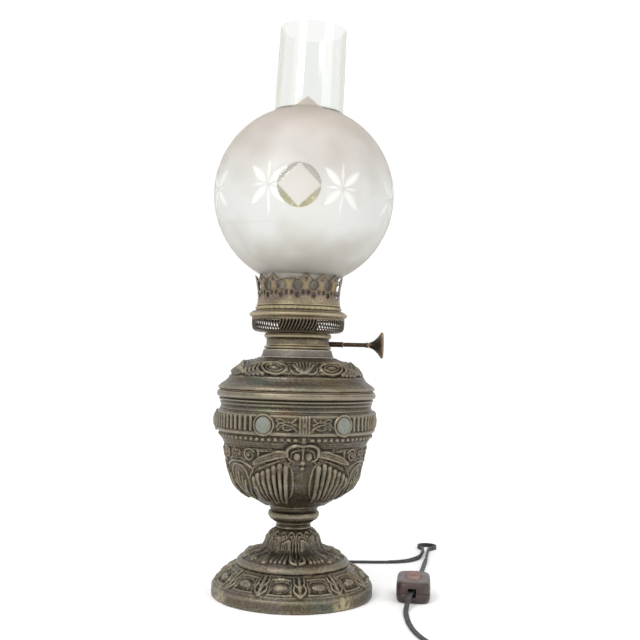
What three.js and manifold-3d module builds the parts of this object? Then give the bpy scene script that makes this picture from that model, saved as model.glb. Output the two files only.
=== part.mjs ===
// Antique round-wick oil lamp, converted to electricity: a cast spelter stand with a drop-in font,
// a brass burner with an openwork crown, a ball-shaped chimney glass, and a twin lead with a switch and plug.
// Millimetres, +Z up, origin on the axis at the underside of the foot. -Y is the front.
import * as THREE from "three";
import { mergeVertices } from "three/addons/utils/BufferGeometryUtils.js";
import Module from "manifold-3d";

const wasm = await Module();
wasm.setup();

// ---- Driving dimensions -------------------------------------------------------------------------
const GAP = 0.3; // between two pieces that touch
const ROUND = 28; // sides of the large turned pieces
const SMALL = 20; // sides of the small ones

const FOOT_R = 74.5;
const FOOT_TOP = 28.2; // height of the lower foot casting
const BELL_TOP = 61.2;
const NECK_TOP = 66.7;
const KNOP_TOP = 83;
const BOWL_TOP = 145;
const BAND_R = 75.6;
const BAND_TOP = 171.3;
const RIM_TOP = 187.6;
const LID_R = 72.9;
const LID_TOP = 218.4;
const COLLAR_TOP = 226.2;
const BURNER_TOP = 241;
const BASKET_TOP = 255.2;
const GALLERY_Z = 262.5;
const CROWN_TOP = 294;
const BALL_R = 84.3;
const BALL_Z = 370.5;
const GLASS_FOOT = 273.2;
const GLASS_TOP = 528.4;
const GLASS_NECK_R = 35.6;
const GLASS_TUBE_R = 32.6;
const GLASS_MOUTH_R = 31.2;
const GLASS_WALL = 2;
const GLASS_LEAN_DEG = 2; // the glass sits a little crooked in its crown
const GLASS_SEAT_Z = 295; // height that it leans about

const STUD_R = 5; // hollow threaded rods that clamp the stand and hold the bulb holder
const STUD_BORE_R = 3.6;
const CLEAR_R = 5.5; // holes that those rods pass through

const PRONGS = 16;
const SLOTS = 24; // a real basket of this size has more and finer slots
const ORNAMENT_TURN_DEG = 7.4; // how far the front ornament is turned from -Y towards +X
const CABOCHON_SPREAD_DEG = 28.5; // each side of an ornament's middle
const CABOCHON_R = 7.9;
const CABOCHON_Z = 160;

const SHAFT_Y = 19.5; // the wick shaft passes beside the wick tube
const SHAFT_Z = 232;
const SHAFT_R = 1.7;
const KNOB_X = 68;
const KNOB_LENGTH = 13.4;
const KNOB_R = 12.4;

const LEAD_WIDTH = 4.6; // flat twin lead
const LEAD_THICK = 2.6;
const LEAD_REST_Z = 1.5;
const EXIT_Z = 5.4; // where the lead leaves the back of the foot

const SWITCH_AT = [112.5, -4];
const SWITCH_TURN_DEG = -6.5;
const SWITCH_HALF_W = 15;
const SWITCH_HALF_L = 26;
const SWITCH_SPLIT = 8.5;
const SWITCH_TOP = 19;
const SWITCH_LEAD_Z = 8.6;
const ROCKER_HALF_W = 7.2;
const ROCKER_HALF_L = 12.6;
const ROCKER_PIVOT_Z = 14.6;
const ROCKER_TILT_DEG = 6;

const COIL_AT = [100, -214];
const COIL_IN_R = 19.6;
const COIL_OUT_R = 34.8;
const COIL_HEIGHT = 5.8;

const PLUG_AT = [27, -246];
const PLUG_HALF_L = 17.6;
const PLUG_HALF_W = 13;
const PLUG_THICK = 13.7;
const PIN_R = 2;
const PIN_LENGTH = 19;
const PIN_SPACING = 18.6;
const RELIEF_LENGTH = 20;

// ---- Materials ----------------------------------------------------------------------------------
const look = (color, roughness, metalness, opacity = 1) =>
  new THREE.MeshStandardMaterial({ color, roughness, metalness, opacity, transparent: opacity < 1 });
const SPELTER = look(0x6a6052, 0.6, 0.7);
const BRASS = look(0x86765a, 0.45, 0.9);
const DARK_BRASS = look(0x4c3b30, 0.45, 0.8);
const CABOCHON = look(0x8f958a, 0.5, 0.1);
const STEEL = look(0x77746f, 0.5, 0.9);
const GLASS = look(0xe6e0da, 0.35, 0, 0.4);
const BULB = look(0xf1ede2, 0.3, 0, 0.6);
const HOLDER = look(0xe7e2d6, 0.4, 0);
const BAKELITE = look(0x4a342f, 0.4, 0);
const ROCKER = look(0x6a463c, 0.4, 0);
const LEAD = look(0x26262a, 0.6, 0);

// ---- Shape helpers ------------------------------------------------------------------------------
const radians = THREE.MathUtils.degToRad;

// A solid of revolution about +Z. The outline is [radius, height] pairs: it starts and ends on the axis, or closes.
function turned(outline, sides = ROUND) {
  const points = outline.map(([r, z]) => new THREE.Vector2(r, z));
  const onAxis = outline[0][0] === 0 && outline.at(-1)[0] === 0;
  if (!onAxis) points.push(points[0].clone());
  if (THREE.ShapeUtils.area(points) < 0) points.reverse();
  return new THREE.LatheGeometry(points, sides).rotateX(Math.PI / 2);
}

// A plain ring or washer.
const ring = (inner, outer, low, high, sides = SMALL) =>
  turned([[inner, low], [outer, low], [outer, high], [inner, high]], sides);

// A rod along +X, centred on the axis.
const rodX = (radius, from, to, sides = SMALL) =>
  new THREE.CylinderGeometry(radius, radius, to - from, sides)
    .rotateZ(-Math.PI / 2)
    .translate((from + to) / 2, 0, 0);

const block = (x0, x1, y0, y1, z0, z1) =>
  new THREE.BoxGeometry(x1 - x0, y1 - y0, z1 - z0)
    .translate((x0 + x1) / 2, (y0 + y1) / 2, (z0 + z1) / 2);

function solid(geometry) {
  const bare = new THREE.BufferGeometry().setAttribute("position", geometry.getAttribute("position"));
  bare.setIndex(geometry.index);
  const merged = mergeVertices(bare, 1e-4);
  return new wasm.Manifold(
    new wasm.Mesh({
      numProp: 3,
      vertProperties: new Float32Array(merged.getAttribute("position").array),
      triVerts: new Uint32Array(merged.index.array),
    }),
  );
}

function surface(made) {
  const mesh = made.getMesh();
  const geometry = new THREE.BufferGeometry();
  geometry.setAttribute("position", new THREE.BufferAttribute(mesh.vertProperties, 3));
  geometry.setIndex(new THREE.BufferAttribute(mesh.triVerts, 1));
  return geometry;
}

const cut = (geometry, cutters) =>
  surface(cutters.reduce((left, cutter) => left.subtract(solid(cutter)), solid(geometry)));

// Copies of a cutter set round the axis, the first of them turned by half a step if asked.
const around = (count, make, halfStep = false) =>
  Array.from({ length: count }, (_, i) => make().rotateZ(((i + (halfStep ? 0.5 : 0)) * 2 * Math.PI) / count));

// A rectangle with rounded corners, as a shape.
function roundedShape(halfW, halfL, corner) {
  const shape = new THREE.Shape();
  shape.absarc(halfW - corner, halfL - corner, corner, 0, Math.PI / 2);
  shape.absarc(corner - halfW, halfL - corner, corner, Math.PI / 2, Math.PI);
  shape.absarc(corner - halfW, corner - halfL, corner, Math.PI, 1.5 * Math.PI);
  shape.absarc(halfW - corner, corner - halfL, corner, 1.5 * Math.PI, 2 * Math.PI);
  return shape;
}

const roundedBlock = (halfW, halfL, corner, low, high) =>
  new THREE.ExtrudeGeometry(roundedShape(halfW, halfL, corner), {
    depth: high - low,
    bevelEnabled: false,
    curveSegments: 4,
  }).translate(0, 0, low);

// A hexagon nut with a clear hole.
const nut = (flats, low, high) =>
  cut(
    new THREE.CylinderGeometry(flats / Math.sqrt(3), flats / Math.sqrt(3), high - low, 6)
      .rotateX(Math.PI / 2)
      .translate(0, 0, (low + high) / 2),
    [turned([[0, low - 1], [CLEAR_R, low - 1], [CLEAR_R, high + 1], [0, high + 1]], 16)],
  );

// The flat twin lead along its route.
function lead(route, steps) {
  const oval = new THREE.Shape();
  oval.absellipse(0, 0, LEAD_THICK / 2, LEAD_WIDTH / 2, 0, 2 * Math.PI);
  const path = new THREE.CatmullRomCurve3(route.map((p) => new THREE.Vector3(...p)), false, "centripetal");
  return new THREE.ExtrudeGeometry(oval, { steps, extrudePath: path, curveSegments: 4 });
}

function mesh(name, geometry, material) {
  const made = new THREE.Mesh(geometry, material);
  made.name = name;
  return made;
}

const group = (...children) => new THREE.Group().add(...children);

// ---- Stand: foot, bell, neck, knop, vase --------------------------------------------------------
function foot() {
  const shell = turned([
    [73.6, 0], [FOOT_R, 1.2], [FOOT_R, 9], [73.2, 11.2], [62.6, 21.2], [51.5, FOOT_TOP], [47.5, FOOT_TOP],
    [60, 17.8], [70.5, 8], [70.5, 0],
  ]);
  const leadHole = new THREE.CylinderGeometry(4, 4, 16, 16).translate(0, FOOT_R - 2, EXIT_Z);
  return cut(shell, [leadHole]);
}

const footBell = () =>
  turned([
    [51.8, FOOT_TOP + GAP], [51.8, 31.5], [48.5, 35.2], [38, 37.6], [30.5, 40.4], [26, 45], [24, 52], [22.4, 56.4],
    [16.4, BELL_TOP], [CLEAR_R, BELL_TOP], [CLEAR_R, 53], [17, 53], [20.8, 45], [29, 37], [46, 31.8],
    [47.8, FOOT_TOP + GAP],
  ]);

const stemNeck = () =>
  turned(
    [[CLEAR_R, BELL_TOP + GAP], [16.3, BELL_TOP + GAP], [16, 64], [16.8, NECK_TOP], [CLEAR_R, NECK_TOP]],
    24,
  );

const stemKnop = () =>
  turned(
    [
      [CLEAR_R, NECK_TOP + GAP], [18.4, NECK_TOP + GAP], [20.6, 69.2], [23.2, 71.2], [23.9, 73.5], [22.4, 77],
      [22.6, 79], [23, KNOP_TOP], [CLEAR_R, KNOP_TOP],
    ],
    28,
  );

const vaseBowl = () =>
  turned([
    [30, KNOP_TOP + GAP], [41, 90.3], [53, 99.6], [57.5, 106], [61.5, 116], [65.2, 129], [66.8, 137],
    [71.8, BOWL_TOP], [68.5, BOWL_TOP], [63.2, 136], [59.8, 121], [55, 109], [47, 100], [34, 93.2], [15, 89],
    [CLEAR_R, 89], [CLEAR_R, KNOP_TOP + GAP],
  ]);

const vaseBand = () =>
  turned([
    [72.2, BOWL_TOP + GAP], [75.2, 150], [BAND_R, 155], [BAND_R, 164], [74.9, 168], [73, BAND_TOP],
    [69.5, BAND_TOP], [71.6, 165], [71.6, 152], [69, BOWL_TOP + GAP],
  ]);

const vaseRim = () =>
  turned([
    [72.4, BAND_TOP + GAP], [71.4, 174], [71.7, 176.8], [73.2, 179.5], [74.8, 182.5], [74.8, 186], [73.8, RIM_TOP],
    [69.6, RIM_TOP], [68.6, 184], [68.6, BAND_TOP + GAP],
  ]);

// A shallow domed disc with its flat back against the band.
const cabochon = () =>
  turned([[0, 0], [CABOCHON_R, 0], [7.2, 1.4], [4.4, 2.6], [0, 3.1]], 14).rotateX(Math.PI / 2);

function cabochons() {
  const spots = [0, 1, 2].flatMap((k) => [-1, 1].map((side) => 120 * k + side * CABOCHON_SPREAD_DEG));
  return spots.map((degrees, i) => {
    const turn = radians(ORNAMENT_TURN_DEG + degrees);
    const disc = mesh(`cabochon_${i + 1}`, cabochon(), CABOCHON);
    const reach = BAND_R + GAP;
    disc.position.set(reach * Math.sin(turn), -reach * Math.cos(turn), CABOCHON_Z);
    disc.rotation.z = turn;
    return disc;
  });
}

const stand = group(
  mesh("foot", foot(), SPELTER),
  mesh("foot_bell", footBell(), SPELTER),
  mesh("stem_neck", stemNeck(), SPELTER),
  mesh("stem_knop", stemKnop(), SPELTER),
  mesh("vase_bowl", vaseBowl(), SPELTER),
  mesh("vase_band", vaseBand(), SPELTER),
  mesh("vase_rim", vaseRim(), SPELTER),
  ...cabochons(),
  mesh("tie_rod", ring(STUD_BORE_R, STUD_R, 44, 99, 16), STEEL),
  mesh("tie_washer_lower", ring(CLEAR_R, 14, 51.2, 52.7), STEEL),
  mesh("tie_nut_lower", nut(17, 46.4, 50.9), STEEL),
  mesh("tie_washer_upper", ring(CLEAR_R, 14, 89.3, 90.8), STEEL),
  mesh("tie_nut_upper", nut(17, 91.1, 95.6), STEEL),
);

// ---- Font: drop-in tank, lid, burner, bulb holder -----------------------------------------------
const fontTank = () =>
  turned([
    [CLEAR_R, 106], [34, 106], [48, 110], [57.5, 121], [62, 137], [66.5, RIM_TOP + GAP], [71.3, RIM_TOP + GAP],
    [71.3, 189], [64.9, 189], [60.8, 137.4], [56.4, 122], [47.4, 111.4], [34, 107.4], [CLEAR_R, 107.4],
  ]);

const lid = () =>
  turned([
    [62, 189.3], [72.6, 189.3], [LID_R, 190.8], [67.4, 195.2], [64.8, 198], [60.2, 203.8], [53.6, 210.6],
    [46, 214.8], [37, 216.8], [36, LID_TOP], [31.5, LID_TOP], [31.5, 215], [43, 212.6], [55, 205], [62.5, 194],
  ]);

const lidCollar = () =>
  turned([
    [34.6, LID_TOP + GAP], [32, COLLAR_TOP], [29.6, COLLAR_TOP], [29.6, 213.5], [31.2, 213.5],
    [31.2, LID_TOP + GAP],
  ]);

const burnerCollar = () =>
  turned([
    [18.3, 217], [29.3, 217], [29.3, COLLAR_TOP + GAP], [31.4, COLLAR_TOP + GAP], [31.6, 228], [30, 229.3],
    [27.9, 229.3], [27.9, 218.2], [18.3, 218.2],
  ]);

function burnerBody() {
  const wall = turned([
    [27.9, 229.6], [29.4, 229.6], [29.4, 236.6], [31.4, 238], [31.4, 240], [30.4, BURNER_TOP], [27.9, BURNER_TOP],
  ]);
  return cut(wall, [rodX(2.75, 10, 40, 12).translate(0, SHAFT_Y, SHAFT_Z)]);
}

function wickTube() {
  const tube = ring(17.1, 18, 212, 260, 24);
  return cut(tube, [block(-6.5, 6.5, 10, 24, SHAFT_Z - 5.4, SHAFT_Z + 5.4)]);
}

function airBasket() {
  const bowl = turned(
    [
      [28.5, BURNER_TOP + GAP], [35, 242], [41, 245], [43.2, 249.5], [43.2, BASKET_TOP], [42.1, BASKET_TOP],
      [42.1, 249.8], [40.2, 246], [34.5, 243.1], [28.5, 242.5],
    ],
    SLOTS,
  );
  const slot = () => block(37, 47, -0.9, 0.9, -4, 4).rotateX(radians(18)).translate(0, 0, 250.6);
  return cut(bowl, around(SLOTS, slot));
}

const basketRim = () =>
  turned([
    [37.6, BASKET_TOP + GAP], [43.6, BASKET_TOP + GAP], [45.8, 257.6], [45.8, 259.2], [43.6, 261.2], [40.4, 262.2],
    [37.6, 262.2],
  ]);

const bulbHolder = () =>
  turned(
    [
      [CLEAR_R, 262.9], [11, 262.9], [13.5, 266], [13.5, 285], [12.2, 286], [12.2, 298], [8.3, 298], [8.3, 272],
      [CLEAR_R, 272],
    ],
    24,
  );

const font = group(
  mesh("font_tank", fontTank(), BRASS),
  mesh("lid", lid(), SPELTER),
  mesh("lid_collar", lidCollar(), STEEL),
  mesh("burner_collar", burnerCollar(), BRASS),
  mesh("burner_body", burnerBody(), BRASS),
  mesh("wick_tube", wickTube(), BRASS),
  mesh("air_basket", airBasket(), DARK_BRASS),
  mesh("basket_rim", basketRim(), BRASS),
  mesh("shaft_sleeve", cut(rodX(2.5, 19, 43, 16), [rodX(2, 18, 44, 16)]).translate(0, SHAFT_Y, SHAFT_Z), BRASS),
  mesh("holder_pipe", ring(STUD_BORE_R, STUD_R, 101, 268, 16), STEEL),
  mesh("pipe_nut_lower", nut(17, 101.4, 105.7), STEEL),
  mesh("pipe_nut_upper", nut(17, 107.7, 112), STEEL),
  mesh("adapter_cap", ring(CLEAR_R, 19.4, 260.3, 262.6, 24), BRASS),
  mesh("bulb_holder", bulbHolder(), HOLDER),
);

// ---- Bulb, which unscrews from its holder -------------------------------------------------------
const bulb = group(
  mesh(
    "bulb_cap",
    turned([[0, 273.5], [3.6, 273.5], [6.8, 276.5], [6.8, 296], [7.6, 299], [0, 299]], SMALL),
    BRASS,
  ),
  mesh(
    "bulb_glass",
    turned(
      [[0, 299.3], [8, 299.3], [12, 304], [16.4, 314], [17.5, 324], [16, 337], [11, 352], [5, 364], [0, 370]],
      SMALL,
    ),
    BULB,
  ),
);

// ---- Wick shaft with its knob and spiked wheels -------------------------------------------------
function knob() {
  const trumpet = turned(
    [
      [0, 0], [2.6, 0], [3.2, 2.4], [5.2, 5.4], [8.6, 8.6], [12, 10.8], [KNOB_R, 11.8], [12, KNOB_LENGTH],
      [10.4, KNOB_LENGTH], [0, 11.9],
    ],
    24,
  );
  return trumpet.rotateY(Math.PI / 2).translate(KNOB_X, 0, 0);
}

function spikedWheel(x) {
  const teeth = 10;
  const star = new THREE.Shape();
  for (let i = 0; i < 2 * teeth; i++) {
    const radius = i % 2 ? 3.3 : 4.6;
    const turn = (i * Math.PI) / teeth;
    star[i ? "lineTo" : "moveTo"](radius * Math.cos(turn), radius * Math.sin(turn));
  }
  star.closePath();
  star.holes.push(new THREE.Path().absarc(0, 0, SHAFT_R + GAP, 0, 2 * Math.PI, true));
  return new THREE.ExtrudeGeometry(star, { depth: 1.2, bevelEnabled: false, curveSegments: 8 })
    .rotateY(Math.PI / 2)
    .translate(x, 0, 0);
}

const wickShaft = group(
  mesh("wick_shaft", rodX(SHAFT_R, -7, KNOB_X - GAP, 16), DARK_BRASS),
  mesh("wick_knob", knob(), DARK_BRASS),
  mesh("spiked_wheel_left", spikedWheel(-4.1), BRASS),
  mesh("spiked_wheel_right", spikedWheel(2.9), BRASS),
);
wickShaft.position.set(0, SHAFT_Y, SHAFT_Z);

// ---- Gallery: the openwork crown that holds the glass -------------------------------------------
function crown() {
  const sheet = turned([
    [31, 270.6], [37.4, 270.6], [37.4, 266.1], [39, 266.1], [38.5, 269], [38.7, 274], [41.4, CROWN_TOP],
    [40.4, CROWN_TOP], [37.7, 271.6], [31, 271.6],
  ], 2 * PRONGS);
  const eye = () => rodX(3.3, 33, 48, 8).translate(0, 0, 284);
  const notch = () => block(33, 48, -3.7, 3.7, -3.7, 3.7).rotateX(Math.PI / 4).translate(0, 0, 295.2);
  return cut(sheet, [...around(PRONGS, eye, true), ...around(PRONGS, notch, true)]);
}

const gallery = group(
  mesh(
    "gallery_band",
    turned([[37, GALLERY_Z], [39.5, GALLERY_Z], [40, 264], [39.5, 265.4], [38.6, 265.8], [37, 265.8]]),
    BRASS,
  ),
  mesh("crown", crown(), BRASS),
);

// ---- Glass: one blown piece, neck, ball and tube ------------------------------------------------
function chimneyGlass() {
  const arc = (radius, from, to, count) =>
    Array.from({ length: count + 1 }, (_, i) => {
      const a = from + ((to - from) * i) / count;
      return [radius * Math.cos(a), BALL_Z + radius * Math.sin(a)];
    });
  const low = (r, radius) => -Math.acos(r / radius);
  const high = (r, radius) => Math.acos(r / radius);
  const inner = BALL_R - GLASS_WALL;
  const neck = GLASS_NECK_R - GLASS_WALL;
  const tube = GLASS_TUBE_R - GLASS_WALL;
  return turned([
    [GLASS_NECK_R, GLASS_FOOT],
    ...arc(BALL_R, low(GLASS_NECK_R, BALL_R), high(GLASS_TUBE_R, BALL_R), 10),
    [GLASS_MOUTH_R, GLASS_TOP],
    [GLASS_MOUTH_R - GLASS_WALL, GLASS_TOP],
    ...arc(inner, high(tube, inner), low(neck, inner), 10),
    [neck, GLASS_FOOT],
  ]).translate(0, 0, -GLASS_SEAT_Z);
}

const glass = group(mesh("chimney_glass", chimneyGlass(), GLASS));
glass.position.z = GLASS_SEAT_Z;
glass.rotation.y = radians(GLASS_LEAN_DEG);

// ---- Switch on the lead -------------------------------------------------------------------------
const LEAD_HOLE = 3.2;

const leadSlot = () => block(-LEAD_HOLE, LEAD_HOLE, -SWITCH_HALF_L - 1, SWITCH_HALF_L + 1, 6.4, 10.8);

function switchBase() {
  const tray = roundedBlock(SWITCH_HALF_W, SWITCH_HALF_L, 7, 0, SWITCH_SPLIT);
  const well = block(-10.5, 10.5, -19, 19, 2.4, SWITCH_SPLIT + 1);
  const screwHole = turned([[0, -1], [2.2, -1], [2.2, 5], [0, 5]], 12).translate(0, 15, 0);
  return cut(tray, [well, leadSlot(), screwHole]);
}

// The long hexagon of the rocker and of the window it sits in.
function rockerOutline(margin) {
  const halfW = ROCKER_HALF_W + margin;
  const halfL = ROCKER_HALF_L + margin;
  const outline = new THREE.Shape();
  outline.moveTo(-halfW, 0);
  outline.lineTo(-0.62 * halfW, -halfL);
  outline.lineTo(0.62 * halfW, -halfL);
  outline.lineTo(halfW, 0);
  outline.lineTo(0.62 * halfW, halfL);
  outline.lineTo(-0.62 * halfW, halfL);
  outline.closePath();
  return outline;
}

const hexagonBlock = (margin, low, high) =>
  new THREE.ExtrudeGeometry(rockerOutline(margin), { depth: high - low, bevelEnabled: false }).translate(0, 0, low);

function switchCover() {
  const shell = roundedBlock(SWITCH_HALF_W, SWITCH_HALF_L, 7, SWITCH_SPLIT + GAP, SWITCH_TOP);
  return cut(shell, [hexagonBlock(0.6, 5, SWITCH_TOP + 1), leadSlot()]);
}

// Seen from the side the rocker is a shallow V, so that one end stands up while the other is pressed.
function rocker() {
  const side = new THREE.Shape();
  side.moveTo(-ROCKER_HALF_L, -1.6);
  side.lineTo(0, -3.2);
  side.lineTo(ROCKER_HALF_L, -1.6);
  side.lineTo(ROCKER_HALF_L, 6);
  side.lineTo(0, 4.8);
  side.lineTo(-ROCKER_HALF_L, 6);
  side.closePath();
  const wedge = new THREE.ExtrudeGeometry(side, { depth: 2 * ROCKER_HALF_W, bevelEnabled: false })
    .translate(0, 0, -ROCKER_HALF_W)
    .rotateX(Math.PI / 2)
    .rotateZ(Math.PI / 2);
  return surface(solid(wedge).intersect(solid(hexagonBlock(0, -5, 8))));
}

const rockerMesh = mesh("switch_rocker", rocker(), ROCKER);
rockerMesh.position.z = ROCKER_PIVOT_Z;
rockerMesh.rotation.x = radians(ROCKER_TILT_DEG);

const leadSwitch = group(
  mesh("switch_base", switchBase(), BAKELITE),
  mesh("switch_cover", switchCover(), BAKELITE),
  mesh("switch_contact", block(-2, 2, -16, 9, 2.7, 3.5), BRASS),
  mesh("switch_screw", turned([[0, 0.6], [1.9, 0.6], [1.9, 6], [0, 6]], 12).translate(0, 15, 0), STEEL),
  rockerMesh,
);
leadSwitch.position.set(...SWITCH_AT, 0);
leadSwitch.rotation.z = radians(SWITCH_TURN_DEG);

// A point given in the switch's own axes, in the lamp's frame.
function atSwitch(x, y, z) {
  const turn = radians(SWITCH_TURN_DEG);
  return [
    SWITCH_AT[0] + x * Math.cos(turn) - y * Math.sin(turn),
    SWITCH_AT[1] + x * Math.sin(turn) + y * Math.cos(turn),
    z,
  ];
}

// ---- Lead, coil and plug ------------------------------------------------------------------------
// From the back of the foot, along the table and round a narrow loop, to the far end of the switch.
const LAMP_ROUTE = [
  [0, 76.2, EXIT_Z], [0.3, 86, EXIT_Z], [1.6, 98, 3.4], [8, 112, LEAD_REST_Z], [22, 124, LEAD_REST_Z],
  [42, 131, LEAD_REST_Z], [66, 133.5, LEAD_REST_Z], [90, 135, LEAD_REST_Z], [111, 138.5, LEAD_REST_Z],
  [125, 146, LEAD_REST_Z], [133.8, 157.5, LEAD_REST_Z], [138.6, 172, LEAD_REST_Z], [141.3, 186.4, LEAD_REST_Z],
  [143.8, 200.2, LEAD_REST_Z], [143.6, 206.4, LEAD_REST_Z], [141.1, 212.2, LEAD_REST_Z], [139.3, 220.6, LEAD_REST_Z],
  [143.9, 227.8, LEAD_REST_Z], [152.3, 229.6, LEAD_REST_Z], [159.5, 225, LEAD_REST_Z], [161.3, 216.6, LEAD_REST_Z],
  [156.7, 209.4, LEAD_REST_Z], [152.3, 204.9, LEAD_REST_Z], [150.1, 199, LEAD_REST_Z], [146.9, 181.3, LEAD_REST_Z],
  [143.2, 160, LEAD_REST_Z], [139, 137, LEAD_REST_Z], [134.6, 114, LEAD_REST_Z], [130.2, 92, LEAD_REST_Z],
  [125.6, 71, LEAD_REST_Z], [121.6, 53, 3], atSwitch(0.4, 40.5, 6), atSwitch(0, 32.5, SWITCH_LEAD_Z),
  atSwitch(0, 26.4, SWITCH_LEAD_Z),
];
// From the near end of the switch to the coil.
const SUPPLY_ROUTE = [
  atSwitch(0, -26.4, SWITCH_LEAD_Z), atSwitch(-0.2, -31.5, SWITCH_LEAD_Z), atSwitch(-1.8, -38.6, 7), [104, -50, 3.6],
  [102.8, -62, 1.8], [102.7, -78, LEAD_REST_Z], [103.6, -98, LEAD_REST_Z], [107, -119, LEAD_REST_Z],
  [113, -140, LEAD_REST_Z], [121, -159, LEAD_REST_Z], [128.7, -177, LEAD_REST_Z], [134.5, -193, LEAD_REST_Z],
  [137, -204, LEAD_REST_Z], [137.4, -212, LEAD_REST_Z],
];
// From the coil to the plug.
const TAIL_ROUTE = [
  [98, -251.5, LEAD_REST_Z], [90, -251, LEAD_REST_Z], [79, -248.6, 4.4],
  [PLUG_AT[0] + PLUG_HALF_L + RELIEF_LENGTH + 0.9, PLUG_AT[1], PLUG_THICK / 2],
];

const exitBush = () =>
  turned([[3, 0], [3.6, 0], [3.6, 4.6], [5.2, 4.6], [4.9, 6], [3, 6]], 16)
    .rotateX(-Math.PI / 2)
    .translate(0, FOOT_R - 4.2, EXIT_Z);

function plugBody() {
  const outline = new THREE.Shape();
  outline.moveTo(-PLUG_HALF_L, -10);
  outline.lineTo(-12, -PLUG_HALF_W);
  outline.lineTo(2, -PLUG_HALF_W);
  outline.lineTo(PLUG_HALF_L, -6);
  outline.lineTo(PLUG_HALF_L, 6);
  outline.lineTo(2, PLUG_HALF_W);
  outline.lineTo(-12, PLUG_HALF_W);
  outline.lineTo(-PLUG_HALF_L, 10);
  outline.closePath();
  return new THREE.ExtrudeGeometry(outline, { depth: PLUG_THICK, bevelEnabled: false });
}

const plugPin = (side) =>
  rodX(PIN_R, -PLUG_HALF_L - PIN_LENGTH, -PLUG_HALF_L - GAP, 12).translate(0, (side * PIN_SPACING) / 2, PLUG_THICK / 2);

const plugRelief = () =>
  turned([[0, 0], [4.6, 0], [3.3, RELIEF_LENGTH], [0, RELIEF_LENGTH]], 12)
    .rotateY(Math.PI / 2)
    .translate(PLUG_HALF_L + GAP, 0, PLUG_THICK / 2);

const plug = group(
  mesh("plug_body", plugBody(), BAKELITE),
  mesh("plug_relief", plugRelief(), LEAD),
  mesh("plug_pin_front", plugPin(-1), BRASS),
  mesh("plug_pin_back", plugPin(1), BRASS),
);
plug.position.set(...PLUG_AT, 0);

const coil = mesh("lead_coil", ring(COIL_IN_R, COIL_OUT_R, 0, COIL_HEIGHT, 28), LEAD);
coil.position.set(...COIL_AT, 0);

// Inside the stand the lead runs from the bush to the rod, and inside the font from the rod to the holder.
const INNER_ROUTE = [
  [0, FOOT_R - 4.8, EXIT_Z], [0, 55, 5], [0, 38, 6], [0, 20, 12], [0, 8, 22], [0, 1.2, 33], [0, 0, 43], [0, 0, 60],
  [0, 0, 99.5],
];

const leads = group(
  mesh("exit_bush", exitBush(), LEAD),
  mesh("inner_lead_stand", lead(INNER_ROUTE, 24), LEAD),
  mesh("inner_lead_font", lead([[0, 0, 100.8], [0, 0, 150], [0, 0, 210], [0, 0, 271]], 6), LEAD),
  mesh("lead_lamp_to_switch", lead(LAMP_ROUTE, 56), LEAD),
  mesh("lead_switch_to_coil", lead(SUPPLY_ROUTE, 22), LEAD),
  coil,
  mesh("lead_coil_to_plug", lead(TAIL_ROUTE, 8), LEAD),
  plug,
);

export default group(stand, font, bulb, wickShaft, gallery, glass, leadSwitch, leads);
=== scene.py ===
"""An oil lamp converted to electricity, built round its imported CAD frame.

Outlines and ornament are given in millimetres, with heights from the underside of the foot. Angles round the
lamp are in degrees from the front (-Y) towards +X.
"""

import math

import bmesh
import bpy
import numpy as np
from mathutils import Matrix, Vector


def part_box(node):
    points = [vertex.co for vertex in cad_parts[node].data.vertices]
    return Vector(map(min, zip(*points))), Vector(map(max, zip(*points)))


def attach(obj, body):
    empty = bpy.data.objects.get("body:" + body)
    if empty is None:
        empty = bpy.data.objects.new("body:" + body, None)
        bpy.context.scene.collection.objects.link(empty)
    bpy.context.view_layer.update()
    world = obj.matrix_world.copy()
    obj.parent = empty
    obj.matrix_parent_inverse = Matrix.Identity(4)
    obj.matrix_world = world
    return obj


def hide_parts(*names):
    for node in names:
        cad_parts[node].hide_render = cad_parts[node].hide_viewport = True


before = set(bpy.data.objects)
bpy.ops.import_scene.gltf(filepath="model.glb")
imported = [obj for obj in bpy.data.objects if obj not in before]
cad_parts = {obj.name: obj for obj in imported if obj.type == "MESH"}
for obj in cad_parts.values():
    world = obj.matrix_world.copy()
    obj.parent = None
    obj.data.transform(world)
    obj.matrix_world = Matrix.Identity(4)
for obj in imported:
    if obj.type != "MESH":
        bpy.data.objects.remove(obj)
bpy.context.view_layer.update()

MM = 0.001
SECTORS = 3  # the cast ornament repeats three times round the lamp
ORNAMENT_TURN = 7.4  # degrees from the front to the middle of the first one
HALF_SECTOR = 180 / SECTORS
BOTH_SIDES = (-1, 1)
rng = np.random.default_rng(11)


# ---- Camera, light and floor --------------------------------------------------------------------
CAMERA_AT = (0.0204, -0.882, 0.2216)
CAMERA_PITCH = 2.13  # degrees up from level
CAMERA_ROLL = 1.33
CAMERA_LENS = 52.9
SKY_STRENGTH = 1.5
SKY_LEVELS = (  # how high up, as the sine of the angle, and the share of the sky's strength there
    (0.46, 0.7),  # pale walls
    (0.6, 0.26),  # a darker band over them
    (0.78, 1.0),  # a bright ceiling
)
FLOOR_SIZE = 120
PAPER = (0.955, 0.955, 0.955, 1)
LAMP_MIDDLE = (0, 0, 0.25)


def make_camera():
    """Looks almost level at the lamp, and is a little rolled."""
    data = bpy.data.cameras.new("camera")
    data.lens = CAMERA_LENS
    data.sensor_width = 36
    camera = bpy.data.objects.new("camera", data)
    bpy.context.scene.collection.objects.link(camera)
    turn = Matrix.Rotation(math.radians(90 + CAMERA_PITCH), 4, "X")
    roll = Matrix.Rotation(math.radians(CAMERA_ROLL), 4, "Z")
    camera.matrix_world = Matrix.Translation(CAMERA_AT) @ turn @ roll
    bpy.context.scene.camera = camera


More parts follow.
